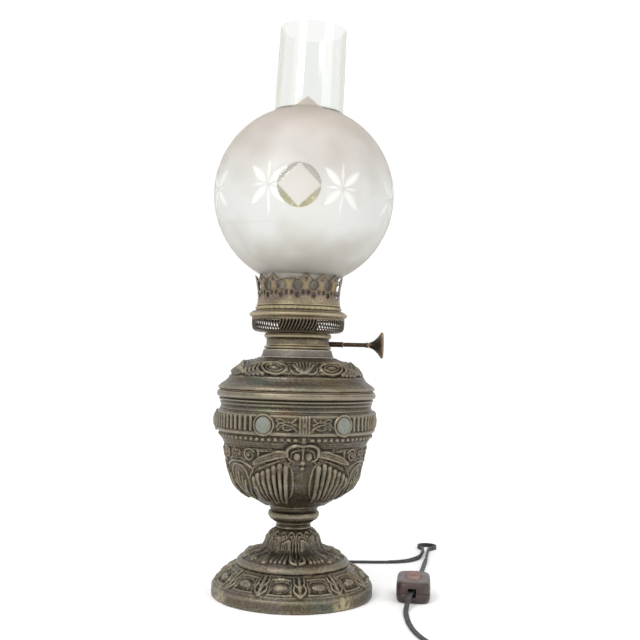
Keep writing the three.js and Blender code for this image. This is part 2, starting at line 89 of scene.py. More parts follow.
def make_light(name, place, size, watts, colour=(1, 1, 1)):
    """A square soft light that faces the lamp."""
    data = bpy.data.lights.new(name, "AREA")
    data.energy = watts
    data.size = size
    data.color = colour
    light = bpy.data.objects.new(name, data)
    light.location = place
    light.rotation_euler = (Vector(LAMP_MIDDLE) - Vector(place)).to_track_quat("-Z", "Y").to_euler()
    bpy.context.scene.collection.objects.link(light)


def make_sky():
    """White all round, with a darker band high up, so that the metal has something to mirror."""
    world = bpy.data.worlds.new("studio")
    world.use_nodes = True
    tree = world.node_tree
    place = tree.nodes.new("ShaderNodeTexCoord").outputs["Generated"]
    up = tree.nodes.new("ShaderNodeSeparateXYZ")
    tree.links.new(place, up.inputs[0])
    sky = tree.nodes.new("ShaderNodeValToRGB")
    stops = sky.color_ramp.elements
    stops.new(0.5)
    for stop, (height, level) in zip(stops, SKY_LEVELS):
        stop.position = height
        stop.color = (level, level, level, 1)
    tree.links.new(up.outputs[2], sky.inputs[0])
    background = tree.nodes["Background"]
    tree.links.new(sky.outputs[0], background.inputs["Color"])
    background.inputs["Strength"].default_value = SKY_STRENGTH
    bpy.context.scene.world = world


def make_stage():
    bpy.context.scene.view_settings.view_transform = "Standard"
    make_sky()
    make_light("key", (-0.75, -1.1, 1.2), 0.6, 11, (1, 0.98, 0.95))
    make_light("fill", (1.3, -0.8, 0.6), 0.9, 4)
    bpy.ops.mesh.primitive_plane_add(size=FLOOR_SIZE)
    floor = bpy.context.object
    floor.name = "floor"
    paper = bpy.data.materials.new("paper")
    paper.use_nodes = True
    shader = paper.node_tree.nodes["Principled BSDF"]
    shader.inputs["Base Color"].default_value = PAPER
    shader.inputs["Roughness"].default_value = 0.9
    floor.data.materials.append(paper)


# ---- Shader helpers -----------------------------------------------------------------------------
def shade(red, green, blue):
    """A linear colour from the 0 to 255 values that it shows as."""
    return tuple(((c / 255 + 0.055) / 1.055) ** 2.4 for c in (red, green, blue)) + (1,)


class Shader:
    """One material's node tree, with short names for the nodes that it uses."""

    def __init__(self, name):
        self.material = bpy.data.materials.new(name)
        self.material.use_nodes = True
        self.tree = self.material.node_tree
        self.main = self.tree.nodes["Principled BSDF"]
        self.place = self.add("ShaderNodeTexCoord").outputs["Object"]

    def add(self, kind, inputs=(), **settings):
        made = self.tree.nodes.new(kind)
        for key, value in settings.items():
            setattr(made, key, value)
        for key, value in dict(inputs).items():
            self.put(made.inputs[key], value)
        return made

    def put(self, socket, value):
        if isinstance(value, bpy.types.NodeSocket):
            self.tree.links.new(value, socket)
        else:
            socket.default_value = value

    def set(self, **inputs):
        for key, value in inputs.items():
            self.put(self.main.inputs[key.replace("_", " ")], value)

    def noise(self, size, detail=3, rough=0.55, stretch=(1, 1, 1)):
        """Noise whose blotches are about size millimetres across."""
        place = self.add("ShaderNodeMapping", {"Vector": self.place, "Scale": stretch}).outputs[0]
        scale = 1 / (size * MM)
        inputs = {"Vector": place, "Scale": scale, "Detail": detail, "Roughness": rough}
        return self.add("ShaderNodeTexNoise", inputs).outputs[0]

    def attribute(self, name):
        return self.add("ShaderNodeAttribute", attribute_name=name).outputs["Fac"]

    def span(self, value, low, high, to_low=0.0, to_high=1.0):
        inputs = {"Value": value, "From Min": low, "From Max": high, "To Min": to_low, "To Max": to_high}
        return self.add("ShaderNodeMapRange", inputs).outputs[0]

    def times(self, a, b):
        return self.add("ShaderNodeMath", {0: a, 1: b}, operation="MULTIPLY").outputs[0]

    def plus(self, a, b):
        return self.add("ShaderNodeMath", {0: a, 1: b}, operation="ADD").outputs[0]

    def mix(self, share, a, b):
        made = self.add("ShaderNodeMix", data_type="RGBA")
        self.put(made.inputs[0], share)
        self.put(made.inputs[6], a)
        self.put(made.inputs[7], b)
        return made.outputs[2]

    def bump(self, height, strength, distance):
        inputs = {"Height": height, "Strength": strength, "Distance": distance * MM}
        return self.add("ShaderNodeBump", inputs).outputs[0]


def metal(name, hollow, middle, proud, tints, metallic, gloss, relief=True, stains=()):
    """Old metal: dark dirt in the hollows, a stained patina, and pale wear on whatever stands proud.

    gloss is the lowest and highest roughness. Each stain is a place, a radius in millimetres and a colour."""
    s = Shader(name)
    fine = s.noise(1.5, 4, 0.7)
    patch = s.noise(22, 3)
    colour = middle
    for i, tint in enumerate(tints):
        where = s.noise(17 + 9 * i, 2, stretch=(1, 1, 1.9 - 0.5 * i))
        colour = s.mix(s.span(where, 0.48, 0.66), colour, tint)
    for place, radius, stain in stains:
        far = s.add("ShaderNodeVectorMath", {0: s.place, 1: [v * MM for v in place]}, operation="DISTANCE")
        near = s.span(far.outputs[1], radius * MM, 0.4 * radius * MM)
        colour = s.mix(s.times(near, s.span(s.noise(5, 3), 0.38, 0.55)), colour, stain)
    colour = s.mix(s.span(fine, 0.4, 0.7, 0, 0.5), colour, hollow)
    if relief:
        height = s.plus(s.attribute("relief"), s.span(fine, 0.3, 0.7, 0.1, -0.1))
        colour = s.mix(s.span(height, 0.46, 0.2), colour, hollow)
        wear = s.times(s.span(height, 0.54, 0.84), s.span(patch, 0.3, 0.6, 0.45, 1))
        colour = s.mix(wear, colour, proud)
    speck = s.span(s.noise(1.0, 3, 0.7), 0.58, 0.7)
    colour = s.mix(s.times(speck, 0.6), colour, proud)
    s.set(Base_Color=colour, Metallic=metallic)
    s.set(Roughness=s.span(s.plus(patch, fine), 0.7, 1.3, gloss[0], gloss[1]))
    s.set(Normal=s.bump(s.plus(s.noise(1.1, 4, 0.7), s.times(s.noise(4, 3), 2)), 0.6, 0.3))
    return s.material


# ---- Materials ----------------------------------------------------------------------------------
def glass_material():
    """Ground glass, with the wheel-cut decoration and the tube left clear. The ground ball carries painted
    light and shade: a brighter middle, a darker beige top, and a painted shade low down by the neck.
    """
    s = Shader("ground_and_clear_glass")
    clear = s.attribute("clear")
    edge = s.add("ShaderNodeLayerWeight", {"Blend": 0.35}).outputs["Facing"]
    clear_colour = s.mix(s.span(edge, 0.38, 0.9), shade(243, 244, 242), shade(172, 172, 112))
    clear_colour = s.mix(s.attribute("amber"), clear_colour, shade(206, 194, 140))
    up = s.add("ShaderNodeSeparateXYZ", {0: s.place}).outputs[2]
    uneven = s.span(s.noise(50, 2), 0.3, 0.7, -0.02, 0.02)
    # Painted light and shade on the ground ball: near-white round its most lit middle, and a darker beige
    # painted shade over its top.
    tone = s.mix(s.span(s.plus(up, uneven), 0.365, 0.435), shade(240, 241, 239), shade(204, 191, 180))
    # Painted shade: darker over the lower ball and darkest by the neck, where the dark burner shows through.
    tone = s.mix(s.span(s.plus(up, uneven), 0.34, 0.3), tone, shade(204, 199, 189))
    tone = s.mix(s.span(up, 0.31, 0.284), tone, shade(160, 154, 140))
    tone = s.mix(s.span(up, 0.444, 0.449), tone, shade(172, 162, 148))
    ground_colour_with_painted_light = s.mix(s.span(edge, 0.45, 1.0), tone, shade(222, 212, 203))
    ground_colour_with_painted_light = s.mix(s.attribute("amber"), ground_colour_with_painted_light, shade(226, 204, 180))
    petal = s.attribute("petal")
    s.set(Base_Color=s.mix(petal, s.mix(clear, ground_colour_with_painted_light, clear_colour), shade(252, 252, 250)))
    ground = s.plus(0.5, s.span(s.noise(3, 3), 0.3, 0.7, 0, 0.08))
    s.set(Roughness=s.add("ShaderNodeMix", {"Factor": clear, "A": ground, "B": 0.06}).outputs[0])
    s.main.inputs["IOR"].default_value = 1.45
    through = s.add("ShaderNodeMix", {"Factor": clear, "A": 0.6, "B": 1.0}).outputs[0]
    s.set(Transmission_Weight=s.add("ShaderNodeMix", {"Factor": petal, "A": through, "B": 0.35}).outputs[0])
    still_ground = s.add("ShaderNodeMath", {0: 1.0, 1: clear}, operation="SUBTRACT").outputs[0]
    grain = s.times(s.noise(0.8, 3), still_ground)
    s.set(Normal=s.bump(grain, 0.12, 0.05))
    return s.material


def stone_material():
    """Matt grey-green cabochon with a veined, dimpled face."""
    s = Shader("cabochon_stone")
    vein = s.noise(2.4, 5, 0.7)
    colour = s.mix(s.span(vein, 0.35, 0.65), shade(120, 125, 116), shade(97, 102, 92))
    colour = s.mix(s.span(s.attribute("relief"), 0.5, 0.2), colour, shade(98, 92, 74))
    s.set(Base_Color=colour, Roughness=s.span(vein, 0.3, 0.7, 0.42, 0.62), Normal=s.bump(vein, 0.3, 0.25))
    return s.material


def moulded(name, colour, streak, gloss, grain=0.12, top=None):
    """Pressed plastic, rubber or bakelite: mottled, with fine scuffs.

    top is a colour mixed onto faces that point up."""
    s = Shader(name)
    mottle = s.noise(7, 4, 0.65)
    scuff = s.noise(1.1, 3, 0.6, (1, 0.2, 1))
    tone = s.mix(s.span(mottle, 0.4, 0.7), colour, streak)
    if top:
        normal = s.add("ShaderNodeTexCoord").outputs["Normal"]
        faces_up = s.add("ShaderNodeSeparateXYZ", {0: normal}).outputs[2]
        upward_mix = s.times(s.span(faces_up, 0.7, 0.97), s.span(scuff, 0.3, 0.7, 1, 0.5))
        tone = s.mix(upward_mix, tone, top)
    s.set(Base_Color=s.mix(s.span(scuff, 0.6, 0.8, 0, 0.4), tone, streak))
    s.set(Roughness=s.span(mottle, 0.3, 0.7, gloss, gloss + 0.18), Normal=s.bump(scuff, grain, 0.08))
    return s.material


def clear_bulb_material():
    """Thin clear glass with a little smoke in it."""
    s = Shader("clear_bulb")
    cloud = s.noise(20, 2)
    s.set(Base_Color=s.mix(cloud, shade(246, 244, 238), shade(236, 234, 226)))
    s.set(Roughness=s.span(s.noise(2, 2), 0.3, 0.7, 0.02, 0.06), Transmission_Weight=1.0, IOR=1.05)
    return s.material


spelter = metal(
    "cast_spelter", shade(36, 30, 19), shade(95, 88, 75), shade(136, 127, 110),
    (shade(100, 90, 88), shade(82, 87, 77), shade(92, 78, 55)), metallic=0.75, gloss=(0.28, 0.5),
    stains=(
        ((0, 0, 112), 88, shade(78, 68, 46)),  # the brown of the vase
        ((0, 0, 118), 80, shade(70, 60, 38)),
        ((0, 0, 75), 30, shade(72, 62, 42)),  # and of the knop
        ((-27, -66, 176), 13, shade(96, 108, 84)),  # a green bloom on the rim
        ((46, -58, 3), 14, shade(176, 164, 128)),  # rubbed places on the edge of the foot
        ((-62, -38, 4), 14, shade(164, 154, 124)),
    ),
)
zinc = metal(
    "grey_zinc", shade(60, 54, 46), shade(116, 109, 99), shade(160, 152, 140),
    (shade(108, 106, 100), shade(106, 97, 85)), metallic=0.65, gloss=(0.4, 0.6),
)
brass = metal(
    "aged_brass", shade(56, 46, 32), shade(112, 102, 84), shade(160, 148, 120),
    (shade(104, 92, 84), shade(98, 92, 74)), metallic=0.75, gloss=(0.32, 0.55),
)
dark_brass = metal(
    "dark_brass", shade(26, 20, 15), shade(72, 60, 48), shade(140, 122, 100),
    (shade(76, 56, 48), shade(62, 56, 46)), metallic=0.7, gloss=(0.35, 0.55),
)
crown_brass = metal(
    "stained_brass", shade(48, 38, 30), shade(108, 96, 82), shade(172, 158, 126),
    (shade(96, 80, 80), shade(128, 106, 70)), metallic=0.75, gloss=(0.3, 0.52),
)
basket_brass = metal(
    "basket_brass", shade(36, 29, 20), shade(116, 103, 84), shade(176, 160, 132),
    (shade(104, 88, 74), shade(98, 90, 72)), metallic=0.75, gloss=(0.34, 0.55),
)
plain_brass = metal(
    "hidden_brass", shade(70, 52, 30), shade(140, 118, 80), shade(200, 180, 138),
    (shade(126, 100, 84),), metallic=0.9, gloss=(0.3, 0.5), relief=False,
)
steel = metal(
    "plated_steel", shade(70, 66, 60), shade(132, 129, 122), shade(200, 198, 190),
    (shade(120, 110, 96),), metallic=0.95, gloss=(0.3, 0.5), relief=False,
)
glass = glass_material()
stone = stone_material()
bulb_clear = clear_bulb_material()
# The holder is made dark brown as painted shade, for the dark shade seen low inside the ground glass ball.
holder_painted_shade_brown = moulded("holder_bakelite_painted_shade", shade(58, 46, 38), shade(38, 30, 26), 0.3)
# Soot on the wick tube, darkened further as painted shade inside the air basket, so that its slots look dark.
soot_and_painted_shade = metal(
    "sooty_brass_and_painted_shade", shade(12, 10, 8), shade(28, 23, 18), shade(52, 43, 34), (shade(24, 20, 16),), metallic=0.3,
    gloss=(0.6, 0.8),
)
bakelite = moulded("brown_bakelite", shade(66, 50, 47), shade(44, 33, 31), 0.36, top=shade(86, 73, 69))
rocker_red = moulded("red_brown_bakelite", shade(124, 88, 78), shade(98, 66, 58), 0.32)
rubber = moulded("lead_rubber", shade(58, 58, 60), shade(34, 34, 36), 0.5, 0.2)
tie_white = moulded("coil_tie", shade(206, 204, 198), shade(170, 168, 162), 0.4)


# ---- Mesh helpers -------------------------------------------------------------------------------
def smooth_line(points, per_span):
    """Points along a smooth curve through the given ones: a centripetal Catmull-Rom spline."""
    given = np.array(points, float)
    ends = np.vstack([2 * given[0] - given[1], given, 2 * given[-1] - given[-2]])
    gaps = np.maximum(np.linalg.norm(np.diff(ends, axis=0), axis=1), 1e-9) ** 0.5
    knots = np.concatenate([[0], np.cumsum(gaps)])
    line = []
    for i in range(len(given) - 1):
        p0, p1, p2, p3 = ends[i:i + 4]
        t0, t1, t2, t3 = knots[i:i + 4]
        for t in np.linspace(t1, t2, per_span, endpoint=False):
            a1 = (p0 * (t1 - t) + p1 * (t - t0)) / (t1 - t0)
            a2 = (p1 * (t2 - t) + p2 * (t - t1)) / (t2 - t1)
            a3 = (p2 * (t3 - t) + p3 * (t - t2)) / (t3 - t2)
            b1 = (a1 * (t2 - t) + a2 * (t - t0)) / (t2 - t0)
            b2 = (a2 * (t3 - t) + a3 * (t - t1)) / (t3 - t1)
            line.append((b1 * (t2 - t) + b2 * (t - t1)) / (t2 - t1))
    return np.array(line + [given[-1]])


def evenly(line, spacing):
    """The same line with its points a fixed distance apart."""
    line = np.array(line, float)
    walked = np.concatenate([[0], np.cumsum(np.linalg.norm(np.diff(line, axis=0), axis=1))])
    steps = np.linspace(0, walked[-1], max(2, round(walked[-1] / spacing) + 1))
    return np.stack([np.interp(steps, walked, line[:, k]) for k in range(line.shape[1])], 1)


def soften(line, spacing, radius, closed=False):
    """Rounds the corners of an evenly spaced line."""
    reach = max(1, round(3 * radius / spacing))
    weights = np.exp(-0.5 * (np.arange(-reach, reach + 1) * spacing / radius) ** 2)
    weights /= weights.sum()
    pads = [(reach, reach), (0, 0)]
    padded = np.pad(line, pads, "wrap") if closed else np.pad(line, pads, "reflect", reflect_type="odd")
    return np.stack([np.convolve(padded[:, k], weights, "valid") for k in range(line.shape[1])], 1)


def ease(share):
    """Goes from 0 to 1 as share does, but gently at both ends."""
    return share * share * (3 - 2 * share)


def add_object(name, mesh, body, nodes, material):
    """A piece with its material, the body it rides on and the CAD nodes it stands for."""
    made = bpy.data.objects.new(name, mesh)
    bpy.context.scene.collection.objects.link(made)
    mesh.materials.append(material)
    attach(made, body)
    if nodes:
        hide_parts(*nodes)
    return made


def build_mesh(name, points, faces, sharp=60):
    """A smooth mesh from points in millimetres and arrays of faces, split where it turns sharply."""
    mesh = bpy.data.meshes.new(name)
    mesh.vertices.add(len(points))
    mesh.vertices.foreach_set("co", (np.asarray(points, float) * MM).astype(np.float32).ravel())
    corners = np.concatenate([np.asarray(f).ravel() for f in faces])
    sizes = np.concatenate([np.full(len(f), np.asarray(f).shape[1]) for f in faces])
    mesh.loops.add(len(corners))
    mesh.loops.foreach_set("vertex_index", corners.astype(np.int32))
    mesh.polygons.add(len(sizes))
    starts = np.concatenate([[0], np.cumsum(sizes)[:-1]])
    mesh.polygons.foreach_set("loop_start", starts.astype(np.int32))
    mesh.update(calc_edges=True)
    mesh.validate()
    mesh.polygons.foreach_set("use_smooth", np.ones(len(mesh.polygons), bool))
    mesh.set_sharp_from_angle(angle=math.radians(sharp))
    return mesh


def ring_points(turn, radius, height):
    """Points round the lamp, from grids of an angle in radians, a radius and a height."""
    return np.stack([radius * np.sin(turn), -radius * np.cos(turn), height], -1)


def grid_faces(rows, columns, wrap_rows):
    """Quads over a grid of points whose columns wrap round."""
    i = np.arange(rows if wrap_rows else rows - 1)[:, None]
    j = np.arange(columns)[None, :]
    up = (i + 1) % rows
    across = (j + 1) % columns
    quads = [i * columns + j, i * columns + across, up * columns + across, up * columns + j]
    return np.stack(quads, -1).reshape(-1, 4)


def give_attribute(mesh, name, values):
    made = mesh.attributes.new(name, "FLOAT", "POINT")
    made.data.foreach_set("value", np.asarray(values, np.float32).ravel())


def blur(grid, cells):
    """A soft average over a grid whose columns wrap round."""
    for _ in range(2):
        for axis in (0, 1):
            total = np.zeros_like(grid)
            for step in range(-cells, cells + 1):
                if axis:
                    total += np.roll(grid, step, 1)
                else:
                    rows = np.clip(np.arange(len(grid)) + step, 0, len(grid) - 1)
                    total += grid[rows]
            grid = total / (2 * cells + 1)
    return grid


def turned(name, body, nodes, material, outline, sides=96, spacing=0.5, corner=0.25, closed=True,
           waves=None, axis_x=False, place=(0, 0, 0)):
    """A turned piece. Its outline is a closed loop of (radius, height), or else runs from axis to axis.

    waves(angle, radius, height) may add to the radius, for beads, ribs or threads. axis_x lays it along X."""
    loop = outline + [outline[0]] if closed else outline
    line = evenly(loop, spacing)
    if closed:
        line = line[:-1]
    line = soften(line, spacing, corner, closed)
    if not closed:
        line[0, 0] = line[-1, 0] = 0.15
    area = np.sum(line[:, 0] * np.roll(line[:, 1], -1) - np.roll(line[:, 0], -1) * line[:, 1])
    if area < 0:
        line = line[::-1]
    angle = np.linspace(0, 2 * math.pi, sides, endpoint=False)[None, :]
    r = line[:, :1] + 0 * angle
    z = line[:, 1:] + 0 * angle
    if waves:
        r = r + waves(angle, r, z)
    points = ring_points(angle, r, z).reshape(-1, 3)
    faces = [grid_faces(len(line), sides, closed)]
    if not closed:
        faces += [np.arange(sides)[None, ::-1], (np.arange(sides) + (len(line) - 1) * sides)[None, :]]
    if axis_x:
        points = points[:, [2, 1, 0]] * [1, 1, -1]
    mesh = build_mesh(name, points + np.array(place), faces, 45)
    wide = soften(line, spacing, 1.6, closed)
    along = np.roll(line, -1, 0) - np.roll(line, 1, 0)
    normal = np.stack([along[:, 1], -along[:, 0]], 1)
    normal /= np.maximum(np.linalg.norm(normal, axis=1, keepdims=True), 1e-9)
    proud = ((line - wide) * normal).sum(1)
    give_attribute(mesh, "relief", np.repeat(np.clip(0.5 + 1.0 * proud, 0, 1), sides))
    add_object(name, mesh, body, nodes, material)


# ---- Cast relief --------------------------------------------------------------------------------
BELOW_ALL = -9  # a height that no ground reaches
INNER_SPACING = 6.0


class Relief:
    """Ornament on a turned casting, as a height map over half of one sector, mirrored and repeated.

    Places on it are an angle in degrees from the ornament's middle, and a height on the lamp."""

    def __init__(self, outline, spacing, half_columns, corner=0.5):
        line = soften(evenly(outline, spacing), spacing, corner)
        self.spacing = spacing
        self.r = line[:, 0]
        self.z = line[:, 1]
        self.s = np.concatenate([[0], np.cumsum(np.hypot(np.diff(self.r), np.diff(self.z)))])
        step = np.gradient(line, axis=0)
        normal = np.stack([step[:, 1], -step[:, 0]], 1)
        self.normal = normal / np.linalg.norm(normal, axis=1, keepdims=True)
        self.proud = ((line - soften(line, spacing, 2.2)) * self.normal).sum(1)
        self.phi = (np.arange(half_columns) + 0.5) * HALF_SECTOR / half_columns
        self.height = np.zeros((len(line), half_columns))

    def along(self, z):
        """The way walked up the outline to reach a height."""
        return np.interp(z, self.z, self.s)

    def window(self, phi, s, reach):
        """The part of the map within reach of a place, and its offsets from there in millimetres."""
        rows = np.flatnonzero(np.abs(self.s - s) <= reach)
        if not len(rows):
            return None
        r = self.r[rows].mean()
        columns = np.flatnonzero(np.abs(self.phi - phi) * math.radians(1) * r <= reach)
        if not len(columns):
            return None
        x = np.radians(self.phi[columns][None, :] - phi) * self.r[rows][:, None]
        y = (self.s[rows] - s)[:, None] + 0 * x
        return np.ix_(rows, columns), x, y

    def raise_to(self, part, inside, values):
        """Lifts the map to the given heights, wherever they are inside the form and above what is there."""
        self.height[part] = np.maximum(self.height[part], np.where(inside, values, BELOW_ALL))

    def stroke(self, points, width, height, tip=0.5, level=0.0, crease=0.0, swell=0.0):
        """A rounded rib along a smooth line of (degrees, height) points.

        width is half its width at the start, which narrows to tip times that. swell widens its middle, and
        crease cuts a vein along it."""
        line = smooth_line([(phi, self.along(z)) for phi, z in points], 7)
        last = len(line) - 1
        for k in range(last):
            t = (k + 0.5) / last
            half = width * (1 - (1 - tip) * t + swell * math.sin(math.pi * t))
            middle = (line[k] + line[k + 1]) / 2
            r = np.interp(middle[1], self.s, self.r)
            run = np.array([math.radians(line[k + 1][0] - line[k][0]) * r, line[k + 1][1] - line[k][1]])
            length = max(float(np.hypot(*run)), 1e-6)
            found = self.window(middle[0], middle[1], half + length)
            if found is None:
                continue
            part, x, y = found
            share = np.clip((x * run[0] + y * run[1]) / length ** 2, -0.5, 0.5)
            off = np.hypot(x - share * run[0], y - share * run[1])
            shape = np.sqrt(np.clip(1 - (off / half) ** 2, 0, 1))
            if crease:
                shape = shape * (1 - crease * np.exp(-((off / (0.28 * half)) ** 2)))
            self.raise_to(part, off < half, level + height * shape)

    def boss(self, phi, z, across, up, height, level=0.0, flat=0.5):
        """A rounded knob; a smaller flat makes it more pointed."""
        found = self.window(phi, self.along(z), max(across, up))
        if found is None:
            return
        part, x, y = found
        q = (x / across) ** 2 + (y / up) ** 2
        self.raise_to(part, q < 1, level + height * np.clip(1 - q, 0, 1) ** flat)

    def hollow(self, phi, z, across, up, depth):
        """An oval dish sunk in the ground."""
        found = self.window(phi, self.along(z), max(across, up))
        if found is None:
            return
        part, x, y = found
        q = (x / across) ** 2 + (y / up) ** 2
        self.height[part] -= depth * np.sqrt(np.clip(1 - q, 0, 1))

    def loop(self, phi, z, across, up, width, height, turn=0.0, level=0.0):
        """An oval ring; turn leans it, in degrees."""
        s = self.along(z)
        found = self.window(phi, s, max(across, up) + 2 * width)
        if found is None:
            return
        part, x, y = found
        a = math.radians(turn)
        u = x * math.cos(a) + y * math.sin(a)
        v = y * math.cos(a) - x * math.sin(a)
        q = np.sqrt((u / across) ** 2 + (v / up) ** 2)
        off = np.abs(q - 1) * np.hypot(u, v) / np.maximum(q, 1e-3)
        shape = np.sqrt(np.clip(1 - (off / width) ** 2, 0, 1))
        self.raise_to(part, off < width, level + height * shape)

    def volute(self, phi, z, size, turns, width, height, start=0.0, side=1):
        """A spiral scroll that winds in to a boss."""
        s = self.along(z)
        r = np.interp(s, self.s, self.r)
        last = 10 * max(1, round(turns))
        spiral = []
        for k in range(last + 1):
            t = k / last
            a = math.radians(start) + side * 2 * math.pi * turns * t
            reach = size * (1 - 0.72 * t)
            spiral.append((phi + math.degrees(reach * math.cos(a) / r), s + reach * math.sin(a)))
        z_at = np.interp([p[1] for p in spiral], self.s, self.z)
        self.stroke([(p[0], q) for p, q in zip(spiral, z_at)], width, height, 0.7)
        self.boss(phi, z, 0.26 * size, 0.26 * size, height * 1.25)

    def ring(self, z, width, height, start=0.0):
        """A rounded line round the casting, from one angle on. A negative height makes a groove."""
        off = np.abs(self.s - self.along(z)) / width
        shape = height * np.sqrt(np.clip(1 - off ** 2, 0, 1))[:, None]
        self.height += np.where(self.phi[None, :] >= start, shape, 0)

    def panel(self, start, end, low, high, height, edge=0.6):
        """Raises or sinks the ground between two angles and two heights."""
        s0, s1 = self.along(low), self.along(high)
        r = np.interp((s0 + s1) / 2, self.s, self.r)
        up = np.clip(np.minimum(self.s - s0, s1 - self.s) / edge + 0.5, 0, 1)[:, None]
        across = np.minimum(self.phi - start, end - self.phi) * math.radians(1) * r
        self.height += height * up * np.clip(across / edge + 0.5, 0, 1)[None, :]

    def shell(self, name, node, inner, grain=0.11, body="stand"):
        """Closes the casting with a plain inner wall, given from the top down, and makes it a piece.

        grain is how rough its skin is, in millimetres."""
        sector = np.concatenate([self.height, self.height[:, ::-1]], 1)
        height = np.tile(sector, (1, SECTORS))
        rows, columns = height.shape
        uneven = 12 * blur(rng.normal(size=(rows, columns)), 5)
        pitted = 2.2 * blur(rng.normal(size=(rows, columns)), 1) + uneven
        height = height * (1 + 0.16 * uneven) + grain * pitted
        angle = np.radians(ORNAMENT_TURN + (np.arange(columns) + 0.5) * 360 / columns)[None, :]
        r = self.r[:, None] + height * self.normal[:, :1]
        z = self.z[:, None] + height * self.normal[:, 1:]
        back = evenly(inner, INNER_SPACING)
        inside = ring_points(angle, back[:, :1], back[:, 1:] + 0 * angle)
        points = np.concatenate([ring_points(angle, r, z), inside]).reshape(-1, 3)
        mesh = build_mesh(name, points, [grid_faces(rows + len(back), columns, True)], 75)
        reach = max(1, round(1.6 / self.spacing))
        proud = 0.62 * (height - blur(height, reach)) + 0.5 * self.proud[:, None]
        value = np.clip(0.5 + proud, 0, 1)
        give_attribute(mesh, "relief", np.concatenate([value, np.full((len(back), columns), 0.4)]))
        add_object(name, mesh, body, [node], spelter)


# ---- Foot and bell ------------------------------------------------------------------------------
def make_foot():
    outline = [
        (73.6, 0), (74.5, 1.2), (74.5, 9.6), (73.9, 10.8), (72.2, 12.2), (71.4, 13.6), (68, 16.5),
        (62.9, 21.5), (57.8, 25), (54.6, 26.6), (53.2, 27.9), (51.8, 28.2),
    ]
    cast = Relief(outline, 0.62, 120)
    cast.ring(13.1, 0.7, 0.5)
    for middle in (15, 45):  # a boss in a framed panel
        for side in BOTH_SIDES:
            edge = middle + side * 8.6
            cast.stroke([(edge, 14.6), (edge, 19), (middle + side * 8.0, 25.4)], 0.75, 0.9, 0.9)
        cast.stroke([(middle - 8.6, 15.2), (middle, 14.8), (middle + 8.6, 15.2)], 0.8, 1.0, 1)
        cast.stroke([(middle - 8.0, 25.2), (middle, 25.6), (middle + 8.0, 25.2)], 0.7, 0.8, 1)
        cast.panel(middle - 8, middle + 8, 15.6, 24.8, -0.35)
        cast.boss(middle, 19.8, 6.8, 3.9, 2.0)
        cast.loop(middle, 19.8, 7.6, 4.7, 0.5, 0.5)
        for side in BOTH_SIDES:
            cast.stroke([(middle + side * 7.6, 17), (middle + side * 6.2, 23.4), (middle, 24.3)], 0.6, 0.6)
    for middle in (0, 30, 60):  # a leaf between two panels
        cast.stroke([(middle, 14.2), (middle, 19), (middle, 26.8)], 1.9, 1.7, 0.5, crease=0.35, swell=0.2)
        for side in BOTH_SIDES:
            lower = [(middle + side * 1.2, 14.6), (middle + side * 4.6, 18), (middle + side * 3.4, 22.6)]
            upper = [(middle + side * 1, 20), (middle + side * 4, 23), (middle + side * 4.4, 26)]
            cast.stroke(lower, 1.4, 1.4)
            cast.stroke(upper, 1.2, 1.2)
    inner = [(50.5, 28.2), (47.5, 28.0), (60, 17.8), (70.5, 8), (70.5, 0)]
    cast.shell("foot_cast", "foot", inner)


def make_bell():
    outline = [
        (51.8, 28.5), (52.2, 29.4), (52, 31), (50.8, 33), (49, 34.5), (46.5, 35.4), (42.3, 37.7),
        (37.6, 39.2), (31, 40.3), (29.2, 41.3), (26.8, 43.1), (25, 46.8), (24, 51.5), (23, 54.3),
        (21.2, 57), (18.8, 59.6), (16.8, 60.8), (16.2, 61.2),
    ]
    cast = Relief(outline, 0.5, 100)
    cast.ring(35.0, 0.7, -0.7)
    for start in (0, 20, 40):
        middle = start + 10
        arch = [(start + 1, 54.4), (start + 3, 57.6), (middle, 59.2), (start + 17, 57.6), (start + 19, 54.4)]
        cast.stroke(arch, 0.8, 0.9, 1)
        cast.boss(middle, 56.2, 1.7, 1.3, 0.7)
    cast.panel(0, 5.5, 38, 51, -0.5)
    cast.stroke([(15, 52), (13.4, 46), (11, 42.4), (9.4, 39.6), (7.6, 37), (2.5, 36)], 2.1, 2.1, 0.7)
    cast.stroke([(6, 51), (6.5, 46), (6.2, 42), (5, 39.2), (1.5, 37.4)], 0.8, 0.9)
    cast.stroke([(0, 52), (0, 46), (0, 40)], 0.9, 0.6, 0.6)
    for k in range(4):
        foot_at = 14 + 5.4 * k
        top_at = 16 + 4.0 * k
        rib = [(top_at, 53 - k), (top_at + 0.5, 45), (foot_at, 40), (foot_at + 1.5, 36.8)]
        cast.stroke(rib, 1.15, 1.5, 1.25, swell=0.2)
    cast.panel(14, 60, 36.4, 44, 0.35, 2)
    leaf = [(41, 54), (41, 46), (40.5, 41.6), (40, 38.8), (40, 36)]
    cast.stroke(leaf, 3.6, 1.7, 0.7, crease=0.3, swell=0.5)
    for side in BOTH_SIDES:
        cast.stroke([(41 + side * 5, 50), (40 + side * 7.6, 42), (40 + side * 6.4, 37)], 1.2, 1.2)
    cast.stroke([(60, 53), (60, 46), (60, 41), (60, 36.4)], 2.2, 1.4, 0.8, crease=0.4, swell=0.4)
    cast.stroke([(53, 51), (54, 45), (55, 40.6), (56, 37)], 1.0, 1.1, 0.9)
    inner = [(12, 61.2), (6, 61), (5.5, 53), (17, 53), (20.8, 45), (29, 37), (46, 31.8), (47.8, 28.5)]
    cast.shell("bell_cast", "foot_bell", inner)


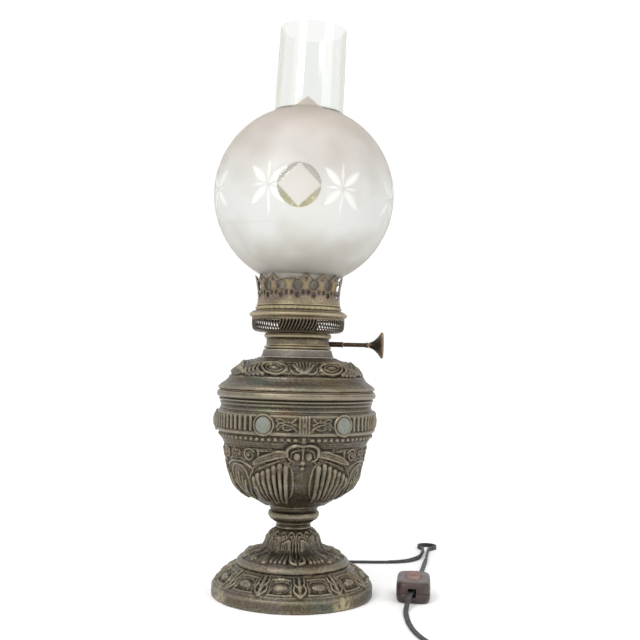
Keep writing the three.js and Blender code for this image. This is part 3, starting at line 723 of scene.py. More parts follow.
def make_stem():
    turned("neck_ring", "stand", ["stem_neck"], spelter, [
        (5.5, 61.5), (16.3, 61.5), (16.7, 62.3), (15.9, 63.4), (15.8, 64.8), (16.6, 66), (16.8, 66.7),
        (5.5, 66.7),
    ])
    bead_count = 40

    def beads(angle, r, z):
        row = np.exp(-((z - 69.6) / 0.9) ** 2) * (r > 15)
        return 0.75 * row * (np.cos(bead_count * angle) - 0.2)

    turned("knop_cast", "stand", ["stem_knop"], spelter, [
        (5.5, 67), (18.2, 67), (18.9, 68), (20.7, 69.4), (22.6, 70.8), (23.7, 72.6), (23.9, 74.2),
        (23.2, 76.2), (21.9, 77.4), (21.6, 78.6), (22.4, 79.2), (22.2, 80.6), (22.9, 81.4), (23.3, 82.4),
        (22.8, 83), (5.5, 83),
    ], sides=320, spacing=0.4, corner=0.3, waves=beads)


# ---- Vase ---------------------------------------------------------------------------------------
def bowl_centre(cast):
    """The shell, scrolls and beads over the stem panel."""
    cast.boss(0, 134, 13, 9, 0.6)
    scroll = [(12, 133.6), (12, 138.6), (8.6, 142.2), (3.8, 143.8), (0.5, 142.8)]
    cast.stroke(scroll, 1.7, 2.3, 0.8, crease=0.2)
    cast.stroke([(9.2, 132.4), (8.4, 136.6), (4.6, 138.8), (1, 139.4)], 0.9, 1.3, 0.7)
    cast.stroke([(12, 134.5), (10.4, 130.6), (7, 128.8)], 1.2, 1.6, 0.5)
    cast.boss(4.6, 133, 3.3, 3.9, 2.1)
    cast.stroke([(0, 138.5), (0, 130.5)], 1.0, 1.7, 0.8)
    cast.boss(0, 127.3, 2.3, 2.4, 1.9)
    cast.boss(0, 122.4, 1.8, 1.9, 1.5)
    cast.boss(0, 118.6, 0.9, 1.3, 0.8)
    cast.stroke([(0, 139), (0, 145)], 1.7, 1.5, 1.4)
    cast.stroke([(3.4, 140.4), (4.4, 145)], 0.9, 1.1, 1.2)
    cast.volute(13.4, 127.8, 2.6, 1.0, 0.8, 1.2, 90, -1)
    cast.stroke([(9.5, 128.4), (11.4, 126.2), (14, 125.8)], 0.8, 1.0)


def bowl_leaves(cast):
    """The long ribbed leaf, the band under it and the rosette that they run to."""
    cast.stroke([(14, 134.8), (24, 132.6), (33, 129.4), (40, 126)], 4.0, 0.8, 0.7)
    for rise, width in ((2.5, 1.6), (0, 1.7), (-2.5, 1.6)):
        rib = [(14, 134.8 + rise * 0.7), (19, 134.4 + rise), (24, 132.6 + rise), (33, 129.4 + rise * 0.9),
               (41, 125.4 + rise * 0.4)]
        cast.stroke(rib, width, 1.5, 0.6, level=0.55)
    cast.stroke([(13.4, 130.4), (18, 129.2), (23, 127.2), (30, 124.4), (36, 121.6)], 1.2, 1.2, 0.6)
    cast.stroke([(20, 137.4), (30, 136.9), (37, 137.2)], 0.9, 1.0, 1)
    cast.stroke([(24, 138.8), (34, 138.2), (48, 138.4), (60, 138.6)], 0.6, 0.7, 1)
    cast.volute(44.5, 132.6, 6.0, 1.6, 1.15, 1.5, 150, -1)
    cast.stroke([(36, 138), (35.6, 134), (36.4, 130)], 1.1, 1.5, 0.6)
    cast.volute(56.8, 133.4, 3.2, 1.0, 0.9, 1.2, 30, 1)
    cast.stroke([(60, 129), (60, 138)], 1.1, 1.3, 0.8)
    cast.stroke([(50, 127.6), (55, 129.4), (60, 128)], 0.9, 1.0)
    for z in (140.6, 142.2, 143.9):
        cast.ring(z, 0.55, 0.55, 15)


def bowl_fans(cast):
    """The fluted fans each side of the stem panel, and the plain oval between two of them."""
    border = [(14, 126.8), (10.6, 125.4), (8.4, 120), (7.3, 112), (7.4, 105), (9.8, 97.6), (15.4, 92.6),
              (22, 90.4), (30, 89.4)]
    cast.stroke(border, 0.8, 1.15, 0.9)
    cast.panel(0, 7.2, 92, 126, -0.3, 1.5)
    flute_tops = ((13.0, 123.4), (17.8, 124.6), (22.6, 122.4), (27.6, 119.6), (32.6, 117.0), (37.6, 114.8),
                  (42.0, 111.6))
    for k, (phi, z) in enumerate(flute_tops):
        drift = 1.8 - 0.7 * k
        flute = [(phi, z), (phi + 0.4, z - 7), (phi + 0.3 * drift, 104), (phi + 0.62 * drift, 97),
                 (phi + drift, 91.4)]
        cast.stroke(flute, 2.9, 2.2, 0.52)
    oval = [(60, 123.6), (55, 122.4), (50.6, 118), (48.6, 111), (49.6, 103), (53.6, 95), (60, 90.6)]
    cast.stroke(oval, 0.9, 1.3, 1)
    cast.boss(60, 108, 10, 17, 0.8)
    for lean in (0, 3.6, 7.2):
        vein = [(60 - 0.3 * lean, 98), (60 - 0.9 * lean, 106), (60 - lean, 116 - lean)]
        cast.stroke(vein, 1.7, 1.2, 0.6, level=0.8)
    cast.stroke([(43.5, 121.5), (47.5, 123.6), (52, 125.6), (60, 126.2)], 1.2, 1.3, 0.8)
    cast.stroke([(14, 127.4), (19, 128), (24, 125.4), (29, 123), (36, 120.4)], 0.8, 0.9, 0.7)
    cast.stroke([(30, 126.6), (36, 124.4), (41, 121.4), (43.4, 116.6)], 1.0, 1.2, 0.6)
    cast.stroke([(44.5, 116.5), (46.6, 112), (46.8, 106)], 0.8, 0.9, 0.6)


def make_bowl():
    outline = [
        (29.5, 83.3), (34.3, 86.3), (37.6, 88.2), (43.2, 92), (48.9, 96), (53.1, 99.8), (55.9, 103.6),
        (58.2, 107.5), (60.1, 113), (61.7, 118), (62.9, 122.6), (63.6, 126.4), (64.2, 131), (64.8, 136),
        (65.6, 139), (67.2, 142.2), (69, 145),
    ]
    cast = Relief(outline, 0.62, 104)
    bowl_centre(cast)
    bowl_leaves(cast)
    bowl_fans(cast)
    inner = [(68.6, 145), (67.2, 145), (62.6, 136), (59.8, 121), (55, 109), (47, 100), (34, 93.2), (15, 89),
             (5.5, 89), (5.5, 83.3), (17, 83.3)]
    cast.shell("bowl_cast", "vase_bowl", inner)


BEZEL_AT = 28.5  # degrees either side of an ornament's middle
BEZEL_Z = 160.2
FLUTE_PITCH = 4.75
STONE_R = 73.8  # where a cabochon's edge comes out of its bezel


def make_band():
    outline = [
        (69.8, 145.3), (70.3, 147.6), (71, 149.4), (71.4, 150.2), (73, 151.2), (73.8, 152.6), (73.2, 154),
        (73.2, 165), (73.8, 167.2), (73.2, 168.8), (71.8, 170), (71, 171.3),
    ]
    cast = Relief(outline, 0.5, 130, 0.4)
    cast.panel(3.9, 60, 154.2, 167.6, -0.7, 0.5)
    cast.stroke([(0, 145.6), (0, 149)], 2.2, 1.2, 0.8)
    for k in range(1, 13):
        cast.boss(FLUTE_PITCH * k + 1.2, 147.6, 2.1, 1.7, 1.4, flat=0.4)
    for side_line in (1.0, 3.3):
        cast.stroke([(side_line, 153.6), (side_line, 168.6)], 0.6, 0.75, 1)
    cast.boss(0, 160.6, 1.6, 2.2, 0.8)
    foliage = (
        [(5, 155.6), (8, 159), (12, 161), (16, 160), (17.6, 157.4)],
        [(6, 165.6), (9, 163), (13, 163.4), (17, 165.6), (20, 164)],
        [(9, 157), (12, 156), (15, 157.4)],
        [(6, 160.6), (8.4, 162), (11.6, 164.8)],
        [(14, 162.4), (17.6, 162), (20, 159.4), (20.6, 156)],
        [(18, 156.4), (19, 158.8), (17.4, 160.6)],
    )
    for line in foliage:
        cast.stroke(line, 0.9, 0.85, 0.5, level=-0.6)
    for phi, z in ((10, 160), (14.6, 158.6), (18.6, 163.4), (7, 157.4)):
        cast.boss(phi, z, 0.9, 0.9, 0.9, -0.6)
    cast.stroke([(3.6, 154.8), (21, 154.8)], 0.5, 0.8, 1, level=-0.5)
    for k in range(5):
        phi = 38.6 + FLUTE_PITCH * k
        cast.stroke([(phi, 155.8), (phi, 166.2)], 1.75, 1.35, 1, level=-0.75)
    cast.loop(BEZEL_AT, BEZEL_Z, 8.9, 8.9, 1.1, 1.9, level=-0.5)
    cast.panel(0, 60, 149.7, 150.7, -0.5, 0.3)
    inner = [(70.4, 171.3), (69.2, 171.3), (70.4, 165), (69.6, 152), (67.6, 145.3), (68.8, 145.3)]
    cast.shell("band_cast", "vase_band", inner, 0.07)


def make_rim():
    turned("rim_cast", "stand", ["vase_rim"], spelter, [
        (70.8, 171.6), (70.2, 173), (70, 175), (70.7, 176), (71, 176.8), (70.5, 177.7), (70.9, 178.6),
        (71.9, 179.5), (72.1, 180.3), (71, 180.8), (71.4, 181.6), (73, 182.2), (74, 183.2), (74.1, 184.6),
        (73.7, 185.8), (73.4, 186.8), (73, 187.6), (69.6, 187.6), (68.6, 184), (68.6, 171.6),
    ], sides=240, spacing=0.35, corner=0.22)


def make_cabochons():
    """Domed, dimpled ovals in the bezels of the band."""
    rings, sides = 22, 56
    share = (np.arange(rings) / (rings - 1))[:, None]
    angle = np.linspace(0, 2 * math.pi, sides, endpoint=False)[None, :]
    dome = 3.0 * np.sqrt(np.clip(1 - share ** 2.2, 0, 1)) + 0 * angle
    dimple = 0.16 * np.sin(3 * angle + 7 * share) * np.sin(9 * share) * (1 - share ** 4)
    x = 7.4 * share * np.cos(angle)
    z = 7.8 * share * np.sin(angle)
    skin = np.stack([x, -(STONE_R + dome + dimple) + 0 * x, z], -1)
    skin[0] = skin[0].mean(0)
    back = skin[-1].copy()
    back[:, 1] = 0.6 - STONE_R
    flat_stone = np.concatenate([skin.reshape(-1, 3), back])
    faces = [grid_faces(rings + 1, sides, False)[:, ::-1], (np.arange(sides) + rings * sides)[None, :]]
    relief = np.concatenate([np.repeat(0.62 - 0.45 * share[:, 0] ** 6, sides), np.full(sides, 0.2)])
    for k in range(6):
        node = f"cabochon_{k + 1}"
        low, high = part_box(node)
        middle = (low + high) / 2 / MM
        turn = math.atan2(middle.x, -middle.y)
        c, s = math.cos(turn), math.sin(turn)
        points = flat_stone @ np.array([[c, s, 0], [-s, c, 0], [0, 0, 1]]) + [0, 0, middle.z]
        mesh = build_mesh(f"{node}_stone", points, faces, 80)
        give_attribute(mesh, "relief", relief)
        add_object(f"{node}_stone", mesh, "stand", [node], stone)


# ---- Font: lid, collar, tank --------------------------------------------------------------------
def make_lid():
    outline = [
        (72.3, 189.3), (72.9, 190.4), (72.4, 191.8), (70.6, 193.6), (67.1, 195.6), (64.9, 197.4),
        (63.6, 199.2), (62.9, 200.3), (61.9, 201.4), (60.1, 203.2), (59.2, 205), (57.8, 207), (55.9, 208.7),
        (53.1, 210.6), (51.2, 212.3), (47.5, 214.3), (42.8, 216.0), (38.4, 217.3), (36.2, 218.4),
    ]
    cast = Relief(outline, 0.55, 120)
    cast.ring(200.6, 0.7, 0.55)
    cast.ring(203.0, 0.6, -0.5)
    cast.ring(193.2, 0.5, -0.25)
    for reach, top in ((0, 214.6), (3.2, 214.2), (6.0, 213), (8.4, 211.2)):
        cast.stroke([(reach * 0.15, 204.6), (reach * 0.7, 208), (reach * 1.1, top)], 1.15, 1.5, 0.9)
    cast.hollow(9.5, 213.7, 2.0, 1.8, 1.1)
    cast.stroke([(2, 204.4), (7, 204.2), (11, 206.6), (13, 209.4)], 1.0, 1.2, 0.7)
    cast.panel(0, 60, 204, 214.6, 0.3, 1.5)
    cast.loop(27.5, 209.2, 12.4, 6.8, 1.6, 2.3, 14)
    cast.loop(28, 209.4, 8.2, 4.2, 1.0, 1.5, 14)
    cast.boss(28.5, 209.6, 5.2, 2.5, 1.9)
    cast.stroke([(14.6, 204.6), (21, 203.6), (29, 203.8), (35, 205.4)], 0.9, 1.1, 0.7)
    cast.stroke([(19, 213.6), (24, 214.4), (31, 213.6)], 1.0, 1.1, 0.7)
    cast.volute(17, 207.4, 3.0, 1.1, 0.85, 1.4, 200, -1)
    feathers = (((36, 203.6), (45, 211.6)), ((40, 203.2), (49, 210.2)), ((44.5, 203), (53, 208.4)),
                ((49, 202.9), (56.6, 206.6)))
    for k, (foot, tip) in enumerate(feathers):
        bend = ((foot[0] + tip[0]) / 2 + 2.4, (foot[1] + tip[1]) / 2 - 0.6)
        cast.stroke([foot, bend, tip], 2.1, 2.1 - 0.1 * k, 0.6, crease=0.25)
    cast.stroke([(38, 212.8), (45, 213.8), (53, 212.4), (60, 210)], 1.0, 1.2, 0.7)
    cast.stroke([(60, 204), (60, 209.6)], 1.3, 1.3, 0.6)
    cast.stroke([(14, 214), (24, 215), (34, 214.6)], 0.8, 0.9)
    inner = [(34, 218.4), (31.5, 218.4), (31.5, 215), (43, 212.6), (55, 205), (62.5, 194), (62, 189.3),
             (67, 189.3)]
    cast.shell("lid_cast", "lid", inner, body="font")


def make_font():
    """The plain cone on the lid, and the tank, which hangs in the vase by its lip."""
    turned("collar_cone", "font", ["lid_collar"], zinc, [
        (34.5, 218.7), (34.3, 219.4), (33.6, 219.8), (33.4, 220.4), (32, 225), (31.8, 226.2), (29.6, 226.2),
        (29.6, 213.5), (31.2, 213.5), (31.2, 218.7),
    ], sides=160, spacing=0.4)
    turned("tank_shell", "font", ["font_tank"], dark_brass, [
        (5.5, 106), (34, 106), (48, 110), (57.5, 121), (62, 137), (66.5, 187.9), (71.3, 187.9), (71.3, 189),
        (64.9, 189), (60.8, 137.4), (56.4, 122), (47.4, 111.4), (34, 107.4), (5.5, 107.4),
    ], sides=160, spacing=0.7)


# ---- Burner -------------------------------------------------------------------------------------
WINDER_AT = (0, 19.5, 232)  # the wick shaft's axis, which runs along X


def make_burner():
    turned("burner_collar_ring", "font", ["burner_collar"], brass, [
        (18.3, 217), (29.3, 217), (29.3, 226.5), (30.6, 226.7), (31.5, 227.6), (31.5, 228.4), (30.4, 229.3),
        (27.9, 229.3), (27.9, 218.2), (18.3, 218.2),
    ], sides=160, spacing=0.35)

    def engraved(angle, r, z):
        wave = np.abs(np.sin(9 * angle)) ** 3 * np.exp(-((z - 233.2) / 1.5) ** 2)
        return -0.22 * wave * (r > 29)

    turned("burner_drum", "font", ["burner_body"], brass, [
        (27.9, 229.6), (29.4, 229.6), (29.7, 230.4), (29.3, 231), (29.3, 236), (29.9, 236.6), (31.2, 237.4),
        (31.5, 238.8), (31, 240.2), (30.4, 241), (27.9, 241),
    ], sides=288, spacing=0.35, waves=engraved)
    turned("wick_tube_wall", "font", ["wick_tube"], soot_and_painted_shade,
           [(17.1, 212), (18, 212), (18, 260), (17.1, 260)], sides=96)
    turned("holder_cap", "font", ["adapter_cap"], brass,
           [(5.5, 260.3), (19.4, 260.3), (19.4, 262.6), (5.5, 262.6)], sides=96)

    def ribs(angle, r, z):
        return 0.25 * (np.cos(24 * angle) > 0.6) * (z > 267) * (z < 284) * (r > 12.6)

    turned("holder_shell", "font", ["bulb_holder"], holder_painted_shade_brown, [
        (5.5, 262.9), (11, 262.9), (13, 264.6), (13.5, 266), (13.5, 284.6), (12.2, 286), (12.2, 297.4),
        (11.6, 298), (8.3, 298), (8.3, 272), (5.5, 272),
    ], sides=192, waves=ribs)
    turned("flange_ring", "font", ["basket_rim"], brass, [
        (37.6, 255.5), (43.4, 255.5), (43.8, 256.2), (45.2, 256.8), (45.9, 257.8), (45.9, 258.8), (45, 259.8),
        (43.6, 260.4), (43.2, 261.2), (41.6, 261.7), (40.4, 262.2), (37.6, 262.2),
    ], sides=192, spacing=0.3, corner=0.2)
    turned("shaft_bush", "font", ["shaft_sleeve"], dark_brass,
           [(2, 19), (2.5, 19), (2.5, 41.6), (3.0, 42), (3.0, 42.8), (2.5, 43), (2, 43)],
           sides=40, spacing=0.3, corner=0.12, axis_x=True, place=WINDER_AT)


def pierced(name, body, nodes, material, outline, radius, columns, spacing, solid):
    """A thin turned wall with openings.

    solid(across, height) is the distance in millimetres into the metal, and across is measured round the wall
    at the given radius. Points beside an opening are moved onto its edge."""
    line = evenly(outline, spacing)
    angle = np.arange(columns) * 2 * math.pi / columns
    across = (angle * radius)[None, :] + 0 * line[:, :1]
    height = line[:, 1:] + 0 * across
    field = solid(across, height)
    faces = grid_faces(len(line), columns, False)
    keep = field.ravel()[faces].mean(1) > 0
    used = np.zeros(field.size, bool)
    used[faces[keep]] = True
    open_side = np.zeros(field.size, bool)
    open_side[faces[~keep]] = True
    border = (used & open_side).reshape(field.shape)
    step = 0.05
    du = (solid(across + step, height) - solid(across - step, height)) / (2 * step)
    dv = (solid(across, height + step) - solid(across, height - step)) / (2 * step)
    pull = -field / np.maximum(du ** 2 + dv ** 2, 0.3)
    limit = 0.75 * spacing
    across = across + np.where(border, np.clip(pull * du, -limit, limit), 0)
    height = height + np.where(border, np.clip(pull * dv, -limit, limit), 0)
    height = np.clip(height, line[0, 1], line[-1, 1])
    r = np.interp(height, line[:, 1], line[:, 0])
    points = ring_points(across / radius, r, height).reshape(-1, 3)
    index = np.cumsum(used) - 1
    mesh = build_mesh(name, points[used], [index[faces[keep]]], 70)
    value = np.clip(0.66 - 0.52 * np.exp(-np.abs(field) / 0.8), 0, 1).ravel()[used]
    give_attribute(mesh, "relief", value)
    made = add_object(name, mesh, body, nodes, material)
    wall = made.modifiers.new("wall", "SOLIDIFY")
    wall.thickness = PIERCED_THICK * MM
    wall.offset = -1


PIERCED_THICK = 0.5
BASKET_SLOTS = 88
BASKET_R = 43.2


def make_basket():
    """Air basket, with leaning slots that have round ends."""
    pitch = 2 * math.pi * BASKET_R / BASKET_SLOTS

    def solid(across, height):
        lean = 4.0 * np.clip((252.8 - height) / 9.4, 0, 1.3) ** 1.6
        side = np.abs((across + lean) % pitch - pitch / 2)
        end = np.maximum(np.abs(height - 248.3) - 4.0, 0)
        return np.hypot(side, end) - 0.84

    outline = [(31, 241.6), (36.4, 241.9), (39.8, 242.6), (41.8, 243.9), (42.9, 246), (43.3, 249),
               (43.4, 255.2)]
    pierced("basket_wall", "font", ["air_basket"], basket_brass, outline, BASKET_R,
            9 * BASKET_SLOTS, 0.36, solid)


PRONGS = 16
PRONG_TURN = 10.5
BROKEN_PRONG = -12.0  # this prong has lost its tip
CROWN_R = 40.2
PRONG_EDGE = (  # one prong's upper edge: how far from its middle, and the height there
    (0, 0.6, 1.6, 3, 4.2, 5.2, 6, 7, 7.9),
    (294.7, 294.4, 293.8, 292.8, 291.6, 290.4, 289.7, 289.3, 289.2),
)


def make_crown():
    """Openwork crown on its beaded band, with a ledge inside that the glass stands on."""
    pitch = 2 * math.pi * CROWN_R / PRONGS
    start = math.radians(PRONG_TURN) * CROWN_R

    def solid(across, height):
        u = (across - start + pitch / 2) % pitch - pitch / 2
        tip_line = np.interp(np.abs(u), *PRONG_EDGE)
        turn = np.degrees(across / CROWN_R)
        lost = np.abs((turn - BROKEN_PRONG + 180) % 360 - 180) < 9
        tip_line = np.where(lost, np.minimum(tip_line, 290.2 + 0.5 * np.sin(3 * u)), tip_line)
        side = np.minimum(np.abs(u - pitch / 2), np.abs(u + pitch / 2))
        holes = (
            np.hypot(side, (height - 284.2) * 0.98) - 4.1,  # the large round between two prongs
            np.hypot(u, height - 290.4) - 0.95,  # the eye in the prong's tip
            np.hypot(side, (height - 275.6) * 0.9) - 1.9,
            np.hypot(np.abs(u) - 2.7, (height - 277.9) * 0.75) - 1.25,
        )
        return np.minimum(0.8 * (tip_line - height), np.minimum.reduce(holes))

    outline = [(38.9, 267.6), (38.6, 269.5), (38.6, 272), (38.4, 275), (38.7, 279), (39.4, 284), (40.3, 289),
               (41.5, 294.8)]
    pierced("crown_lace", "gallery", ["crown"], crown_brass, outline, CROWN_R, 50 * PRONGS,
            0.33, solid)
    turned("crown_seat", "gallery", [], brass, [
        (31, 270.6), (37.6, 270.6), (37.6, 266.3), (39.3, 266.3), (39.6, 267), (39.2, 267.8), (38.2, 268),
        (38.2, 271.6), (31, 271.6),
    ], sides=160, spacing=0.35)

    def beads(angle, r, z):
        row = np.exp(-((z - 264.2) / 0.85) ** 2) * (r > 38.8)
        return 0.45 * row * np.cos(46 * angle)

    turned("gallery_ring", "gallery", ["gallery_band"], brass, [
        (37, 262.5), (39.6, 262.5), (40, 263.2), (40.1, 265), (39.6, 265.6), (38.6, 265.9), (37, 265.9),
    ], sides=368, spacing=0.3, corner=0.2, waves=beads)


def make_winder():
    """Wick shaft and its trumpet-shaped knob."""
    turned("shaft_rod", "wick_winder", ["wick_shaft"], dark_brass,
           [(0, -7), (1.7, -7), (1.7, 43.3), (2.05, 43.8), (2.05, 64.4), (2.5, 65), (2.5, 67.7), (0, 67.7)],
           sides=40, spacing=0.4, corner=0.15, closed=False, axis_x=True, place=WINDER_AT)

    def milled(angle, r, z):
        return 0.14 * np.cos(64 * angle) * (r > 11.8)

    turned("knob_trumpet", "wick_winder", ["wick_knob"], dark_brass, [
        (0, 68), (2.6, 68), (3, 69.4), (3.8, 71.4), (5.4, 73.6), (8.2, 76.4), (10.8, 78.2), (12.1, 79.2),
        (12.5, 80.2), (12.2, 81.2), (11.4, 81.4), (10.4, 80.9), (8.6, 80.3), (6.4, 80.8), (4.6, 80.6),
        (3.2, 79.8), (0, 79.9),
    ], sides=256, spacing=0.35, corner=0.22, closed=False, waves=milled, axis_x=True, place=WINDER_AT)


# ---- Bulb ---------------------------------------------------------------------------------------
def make_bulb():
    def thread(angle, r, z):
        return 0.45 * np.cos(angle + 2 * math.pi * (z - 278) / 3.0) * (z > 278) * (z < 294) * (r > 6)

    turned("bulb_screw", "bulb", ["bulb_cap"], brass,
           [(0, 273.5), (3.6, 273.5), (6.4, 276.5), (6.4, 296), (7.4, 299), (0, 299)],
           sides=64, closed=False, waves=thread)
    turned("bulb_envelope", "bulb", ["bulb_glass"], bulb_clear, [
        (0, 299.3), (7.6, 299.3), (9.4, 300.8), (12.6, 305), (15.6, 311), (17.2, 318), (17.5, 324),
        (17, 331), (15.2, 340), (12, 350), (8.4, 358.6), (5, 364.6), (2.6, 368.4), (0, 370),
    ], sides=96, spacing=0.8, corner=0.8, closed=False)


# ---- Chimney glass ------------------------------------------------------------------------------
BALL_R = 84.3
BALL_Z = 370.5
NECK_R = 35.6
TUBE_R = 32.6
MOUTH_R = 31.2
GLASS_LOW = 273.2
GLASS_HIGH = 528.4
GLASS_WALL = 2.0
GLASS_SEAT = 295.0  # the glass stands a little askew in its crown, and leans about this height
GLASS_LEAN = 2.0
STAR_Z = 367.0
STARS = [24.5 + 45 * k for k in range(8)]
BROAD_RAY = (21, 4.0)  # length and half width
SHORT_RAY = (13, 1.4)
LONG_RAYS = {0: (20, 1.4), 4: (26, 1.4)}  # the narrow rays that point up and down are longer
LENS_R = 19.3
LENS_TURN = -1.8
CLEAR_FROM = 446.5


def ball_arc(radius, low_r, high_r, coarse, fine):
    """Points up the ball, closer together where the stars are cut."""
    stops = [-math.acos(low_r / radius), math.asin((STAR_Z - 32 - BALL_Z) / radius),
             math.asin((STAR_Z + 26 - BALL_Z) / radius), math.acos(high_r / radius)]
    angles = [stops[0]]
    for start, end, step in zip(stops, stops[1:], (coarse, fine, coarse)):
        count = round((end - start) * radius / step)
        angles += list(np.linspace(start, end, count + 1)[1:])
    return [(radius * math.cos(a), BALL_Z + radius * math.sin(a)) for a in angles]


def star_cut(turn, height):
    """How deep the wheel has cut, from 0 to 1, round one star's middle. Both arguments are grids."""
    depth = np.zeros_like(turn)
    for star in STARS:
        u = np.radians((turn - star + 180) % 360 - 180) * BALL_R
        v = height - STAR_Z
        near = np.hypot(u, v) < 30
        for k in range(8):
            a = math.radians(45 * k + 90)
            length, half = BROAD_RAY if k % 2 else LONG_RAYS.get(k, SHORT_RAY)
            t = (u * math.cos(a) + v * math.sin(a) - 2.4) / length
            off = np.abs(v * math.cos(a) - u * math.sin(a))
            wide = half * np.sin(math.pi * np.clip(t, 0, 1) ** 0.85) ** 0.75
            groove = np.clip(1 - (off / np.maximum(wide, 0.01)) ** 2, 0, 1)
            depth = np.maximum(depth, np.where(near & (t > 0) & (t < 1), groove, 0))
    return depth


def lean_glass(points):
    """Tips the glass over to the side, about the place where it sits in its crown."""
    lean = math.radians(GLASS_LEAN)
    x, y, up = points[:, 0], points[:, 1], points[:, 2] - GLASS_SEAT
    across = x * math.cos(lean) + up * math.sin(lean)
    return np.stack([across, y, up * math.cos(lean) - x * math.sin(lean) + GLASS_SEAT], 1)


def make_glass():
    """One blown shell: neck, ball and tube, ground except for its tube and its cut decoration."""
    columns = 468
    arc = ball_arc(BALL_R, NECK_R, TUBE_R, 2.4, 0.85)
    neck = [(NECK_R, z) for z in np.linspace(GLASS_LOW, arc[0][1], 7)[:-1]]
    tube_zs = np.concatenate([np.arange(arc[-1][1] + 0.8, 459, 0.8), np.linspace(460, GLASS_HIGH, 14)])
    tube = [(float(np.interp(z, [arc[-1][1], GLASS_HIGH], [TUBE_R, MOUTH_R])), z) for z in tube_zs]
    outer = np.array(neck + arc + tube)
    outer[:, 0] = np.convolve(np.pad(outer[:, 0], 2, "edge"), np.ones(5) / 5, "valid")
    arc_in = ball_arc(BALL_R - GLASS_WALL, NECK_R - GLASS_WALL, TUBE_R - GLASS_WALL, 5.5, 5.5)
    inner = np.array(
        [(MOUTH_R - GLASS_WALL, GLASS_HIGH), (MOUTH_R - GLASS_WALL + 0.5, 500), (TUBE_R - GLASS_WALL, 470)]
        + arc_in[::-1] + [(NECK_R - GLASS_WALL, GLASS_LOW)])
    degrees = np.arange(columns) * 360 / columns
    turn = degrees[None, :] + 0 * outer[:, :1]
    height = outer[:, 1:] + 0 * turn
    on_ball = np.abs(height - STAR_Z) < 45
    cut = np.where(on_ball, star_cut(turn, height), 0)
    front = np.abs((turn - LENS_TURN + 90) % 180 - 90)
    u = np.radians(front) * BALL_R
    v = height - STAR_Z
    in_lens = np.clip((LENS_R - np.hypot(u, v)) / 0.9 + 0.5, 0, 1) * on_ball
    crescent = in_lens * np.clip((u + np.abs(v) - 0.98 * LENS_R) / 0.9 + 0.5, 0, 1)
    amber = np.maximum(crescent * np.clip(0.3 - v / 12, 0.15, 1), 0.2 * in_lens)
    arch = CLEAR_FROM + 11 * np.clip(1 - np.radians(front) * TUBE_R / 13.5, 0, 1) ** 0.85
    petal = 0.7 * np.clip(1.5 * cut, 0, 1) * (1 - in_lens)
    clear = np.maximum(crescent, 0.3 * petal)
    clear = np.maximum(clear, np.clip((height - arch) / 0.9 + 0.5, 0, 1))
    depth = 0.8 * cut * (1 - in_lens) + 0.35 * crescent
    toward = np.stack([outer[:, 0], outer[:, 1] - BALL_Z], 1)
    toward /= np.linalg.norm(toward, axis=1, keepdims=True)
    r = outer[:, :1] - depth * toward[:, :1]
    z = height - depth * toward[:, 1:]
    skin = ring_points(np.radians(turn), r, z)
    turn_in = np.radians(degrees)[None, :]
    wall = ring_points(turn_in, inner[:, :1], inner[:, 1:] + 0 * turn_in)
    points = lean_glass(np.concatenate([skin, wall]).reshape(-1, 3))
    mesh = build_mesh("glass_blown", points, [grid_faces(len(outer) + len(inner), columns, True)], 50)
    for name, outside, inside in (("clear", clear, 1), ("amber", amber, 0), ("petal", petal, 0)):
        give_attribute(mesh, name, np.concatenate([outside.ravel(), np.full(wall.size // 3, float(inside))]))
    add_object("glass_blown", mesh, "glass", ["chimney_glass"], glass)


# ---- Lead ---------------------------------------------------------------------------------------
LEAD_WIDTH = 4.6
LEAD_THICK = 2.6
FLAT_Z = 1.35  # its middle where it lies flat, and where it stands on edge
EDGE_Z = 2.35
FLOOR_GAP = 0.05
switch_low, switch_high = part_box("switch_base")
SWITCH_AT = ((switch_low + switch_high) / 2 / MM).xy
SWITCH_TURN = math.radians(-6.5)
SWITCH_LEAD_Z = 8.6
PLUG_Z = 6.85  # middle of the plug's pins and relief
COIL_R = 27.2  # middle of the turns
COIL_PITCH = 5.1
COIL_RISE = 2.85  # from the lower layer to the upper one
COIL_TURNS = 6.27  # three inwards on the table, three outwards on top of them, and a little to leave by
COIL_RINGS = (0, 1, 2, 2, 1, 0, 0, 0)  # the ring that each turn starts on, counted inwards
CROSSING = 0.18  # the share of a turn in which the lead steps to its next ring
coil_low, coil_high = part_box("lead_coil")
COIL_AT = ((coil_low + coil_high) / 2 / MM).xy


def at_switch(x, y, z):
    """A point given across and along the switch, in the lamp's own axes."""
    c, s = math.cos(SWITCH_TURN), math.sin(SWITCH_TURN)
    return (SWITCH_AT.x + x * c - y * s, SWITCH_AT.y + x * s + y * c, z)


